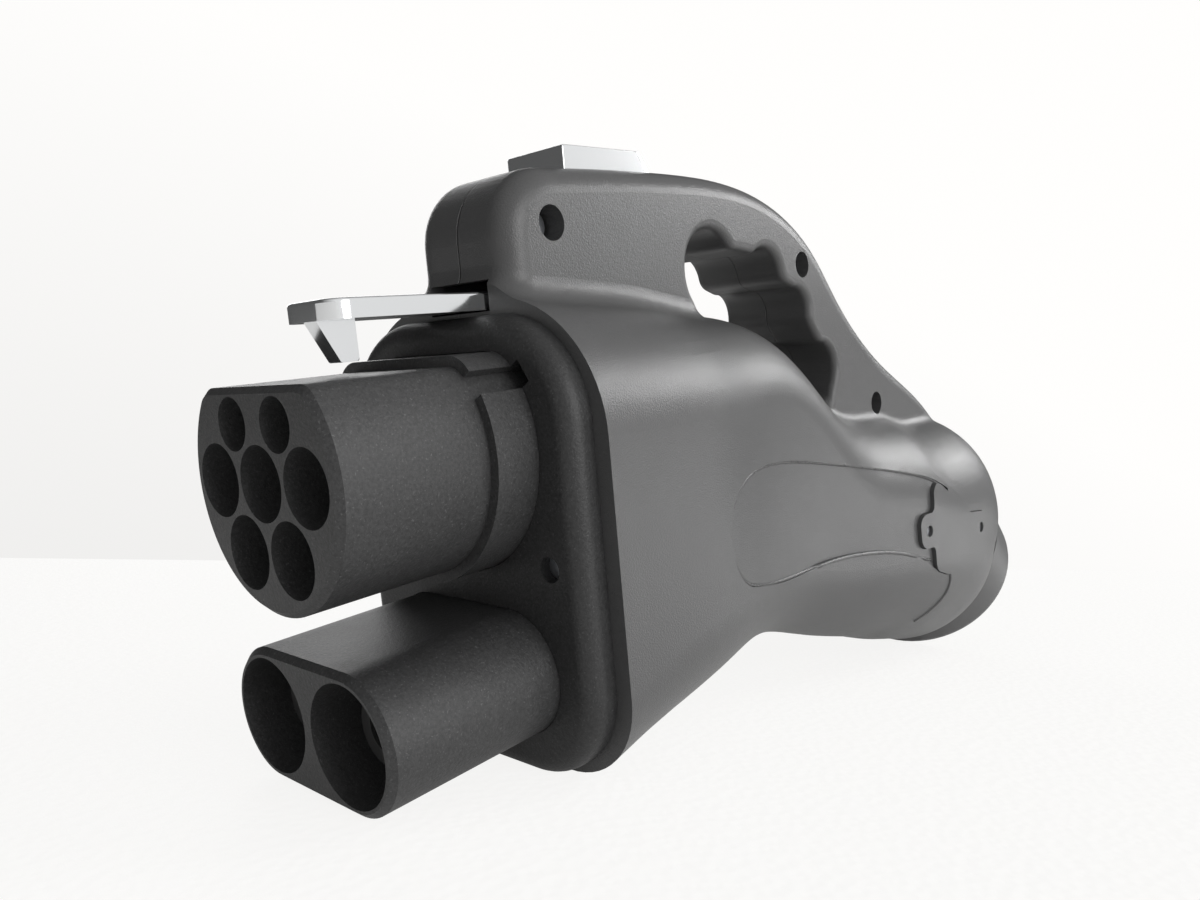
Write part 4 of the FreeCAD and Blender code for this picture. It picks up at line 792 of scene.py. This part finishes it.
def studio_world(fill):
    """White where the camera sees it, with painted shade towards the left and the bottom. The gloss and
    the light see a room lit from the right and above.
    """
    world = bpy.data.worlds.new("studio")
    world.use_nodes = True
    tree = world.node_tree
    tree.nodes.clear()
    output = tree.nodes.new("ShaderNodeOutputWorld")
    coordinates = tree.nodes.new("ShaderNodeTexCoord")
    split = tree.nodes.new("ShaderNodeSeparateXYZ")
    tree.links.new(coordinates.outputs["Generated"], split.inputs[0])
    back = Signal(tree, split.outputs["Y"])
    side = Signal(tree, split.outputs["X"])
    height = Signal(tree, split.outputs["Z"])
    level = back * 0.05 + side * 0.90 + height * 0.45 + 0.26
    level = level.maths("MINIMUM", level.maths("SMOOTH_MAX", level, ROOM_DARKEST, ROOM_SOFTNESS), 1.0)
    # Painted shade: the wall the camera sees is darker towards the left and the bottom.
    shaded_wall = height * 0.22 + side * 0.13 + 1.02
    shaded_wall = shaded_wall.maths("MINIMUM", shaded_wall, 1.0)
    shown = tree.nodes.new("ShaderNodeBackground")
    shown.inputs["Color"].default_value = WALL_WHITE
    plug(tree, shaded_wall, shown.inputs["Strength"])
    mirrored = tree.nodes.new("ShaderNodeBackground")
    plug(tree, level, mirrored.inputs["Strength"])
    light = tree.nodes.new("ShaderNodeBackground")
    plug(tree, level * fill + EVEN_LIGHT, light.inputs["Strength"])
    camera_ray, glossy_ray, clear_ray = ray_kinds(tree, tree.nodes.new("ShaderNodeLightPath"))
    first = tree.nodes.new("ShaderNodeMixShader")
    plug(tree, glossy_ray, first.inputs[0])
    tree.links.new(light.outputs[0], first.inputs[1])
    tree.links.new(mirrored.outputs[0], first.inputs[2])
    choose = tree.nodes.new("ShaderNodeMixShader")
    plug(tree, camera_ray.maths("MAXIMUM", camera_ray, clear_ray), choose.inputs[0])
    tree.links.new(first.outputs[0], choose.inputs[1])
    tree.links.new(shown.outputs[0], choose.inputs[2])
    tree.links.new(choose.outputs[0], output.inputs["Surface"])
    return world


# Corners of the table top, in metres across the floor
TABLE_CORNERS = ((-1.35, -1.40), (0.9, -2.4), (2.6, 1.6), (0.96, 2.29))

# Soft lights: name, place and size in metres, and the setting that holds the power
LIGHT_AIM = (0.0, 0.1, 0.0)
LIGHTS = (
    ("back_window", (0.71, 1.62, 0.89), (0.75, 0.45), "key_power"),
    ("side_window", (1.6, 0.1, 0.45), (0.9, 0.9), "side_power"),
    ("left_window", (-1.5, 0.9, 0.7), (1.0, 0.8), "left_power"),
    ("low_glow", (0.50, 0.70, -0.038), (0.40, 0.045), "low_power"))

# The camera of the photograph, solved from the contact holes
CAMERA_PLACE = (0.16031882, -0.09655558, 0.00453791)
CAMERA_FORWARD = Vector((-0.66794677, 0.74409337, 0.01312126))
CAMERA_UP = Vector((-0.02402831, -0.03918463, 0.99894304))
CAMERA_LENS = 27.388
CAMERA_SENSOR = 36.0


class ADAPTER_OT_stage(bpy.types.Operator):
    """Build the table, the room, the lights and the camera"""
    bl_idname = "adapter.stage"
    bl_label = "Build the stage"

    def execute(self, context):
        settings = context.scene.adapter
        floor = CAD_BOX[0][2]
        flat_sheet("table_top", [(x, y, floor) for x, y in TABLE_CORNERS],
                   foam_table(settings.floor_colour, settings.floor_shown))
        scene = context.scene
        scene.world = studio_world(settings.fill_strength)
        for name, place, size, power in LIGHTS:
            soft_light(name, place, size, getattr(settings, power))
        camera = bpy.data.cameras.new("camera")
        camera.sensor_fit = "HORIZONTAL"
        camera.sensor_width = CAMERA_SENSOR
        camera.lens = CAMERA_LENS
        camera.clip_start = 0.01
        made = bpy.data.objects.new("camera", camera)
        right = CAMERA_FORWARD.cross(CAMERA_UP).normalized()
        turn = Matrix((right, CAMERA_UP, -CAMERA_FORWARD)).transposed()
        made.matrix_world = Matrix.Translation(CAMERA_PLACE) @ turn.to_4x4()
        scene.collection.objects.link(made)
        scene.camera = made
        scene.view_settings.view_transform = "Standard"
        return {"FINISHED"}


class ADAPTER_PT_panel(bpy.types.Panel):
    bl_idname = "ADAPTER_PT_panel"
    bl_label = "Charging Adapter"
    bl_space_type = "VIEW_3D"
    bl_region_type = "UI"
    bl_category = "Adapter"

    def draw(self, context):
        settings = context.scene.adapter
        for name in AdapterSettings.__annotations__:
            self.layout.prop(settings, name)
        for operator in OPERATORS:
            self.layout.operator(operator.bl_idname)


OPERATORS = (ADAPTER_OT_finishes, ADAPTER_OT_keyways, ADAPTER_OT_plating, ADAPTER_OT_spring,
             ADAPTER_OT_beads, ADAPTER_OT_stage)
CLASSES = (AdapterSettings,) + OPERATORS + (ADAPTER_PT_panel,)


def register():
    for made in CLASSES:
        bpy.utils.register_class(made)
    bpy.types.Scene.adapter = PointerProperty(type=AdapterSettings)


def unregister():
    del bpy.types.Scene.adapter
    for made in reversed(CLASSES):
        bpy.utils.unregister_class(made)


def main():
    register()
    bpy.ops.adapter.finishes()
    bpy.ops.adapter.keyways()
    bpy.ops.adapter.plating()
    bpy.ops.adapter.spring()
    bpy.ops.adapter.beads()
    bpy.ops.adapter.stage()


if __name__ == "__main__":
    main()
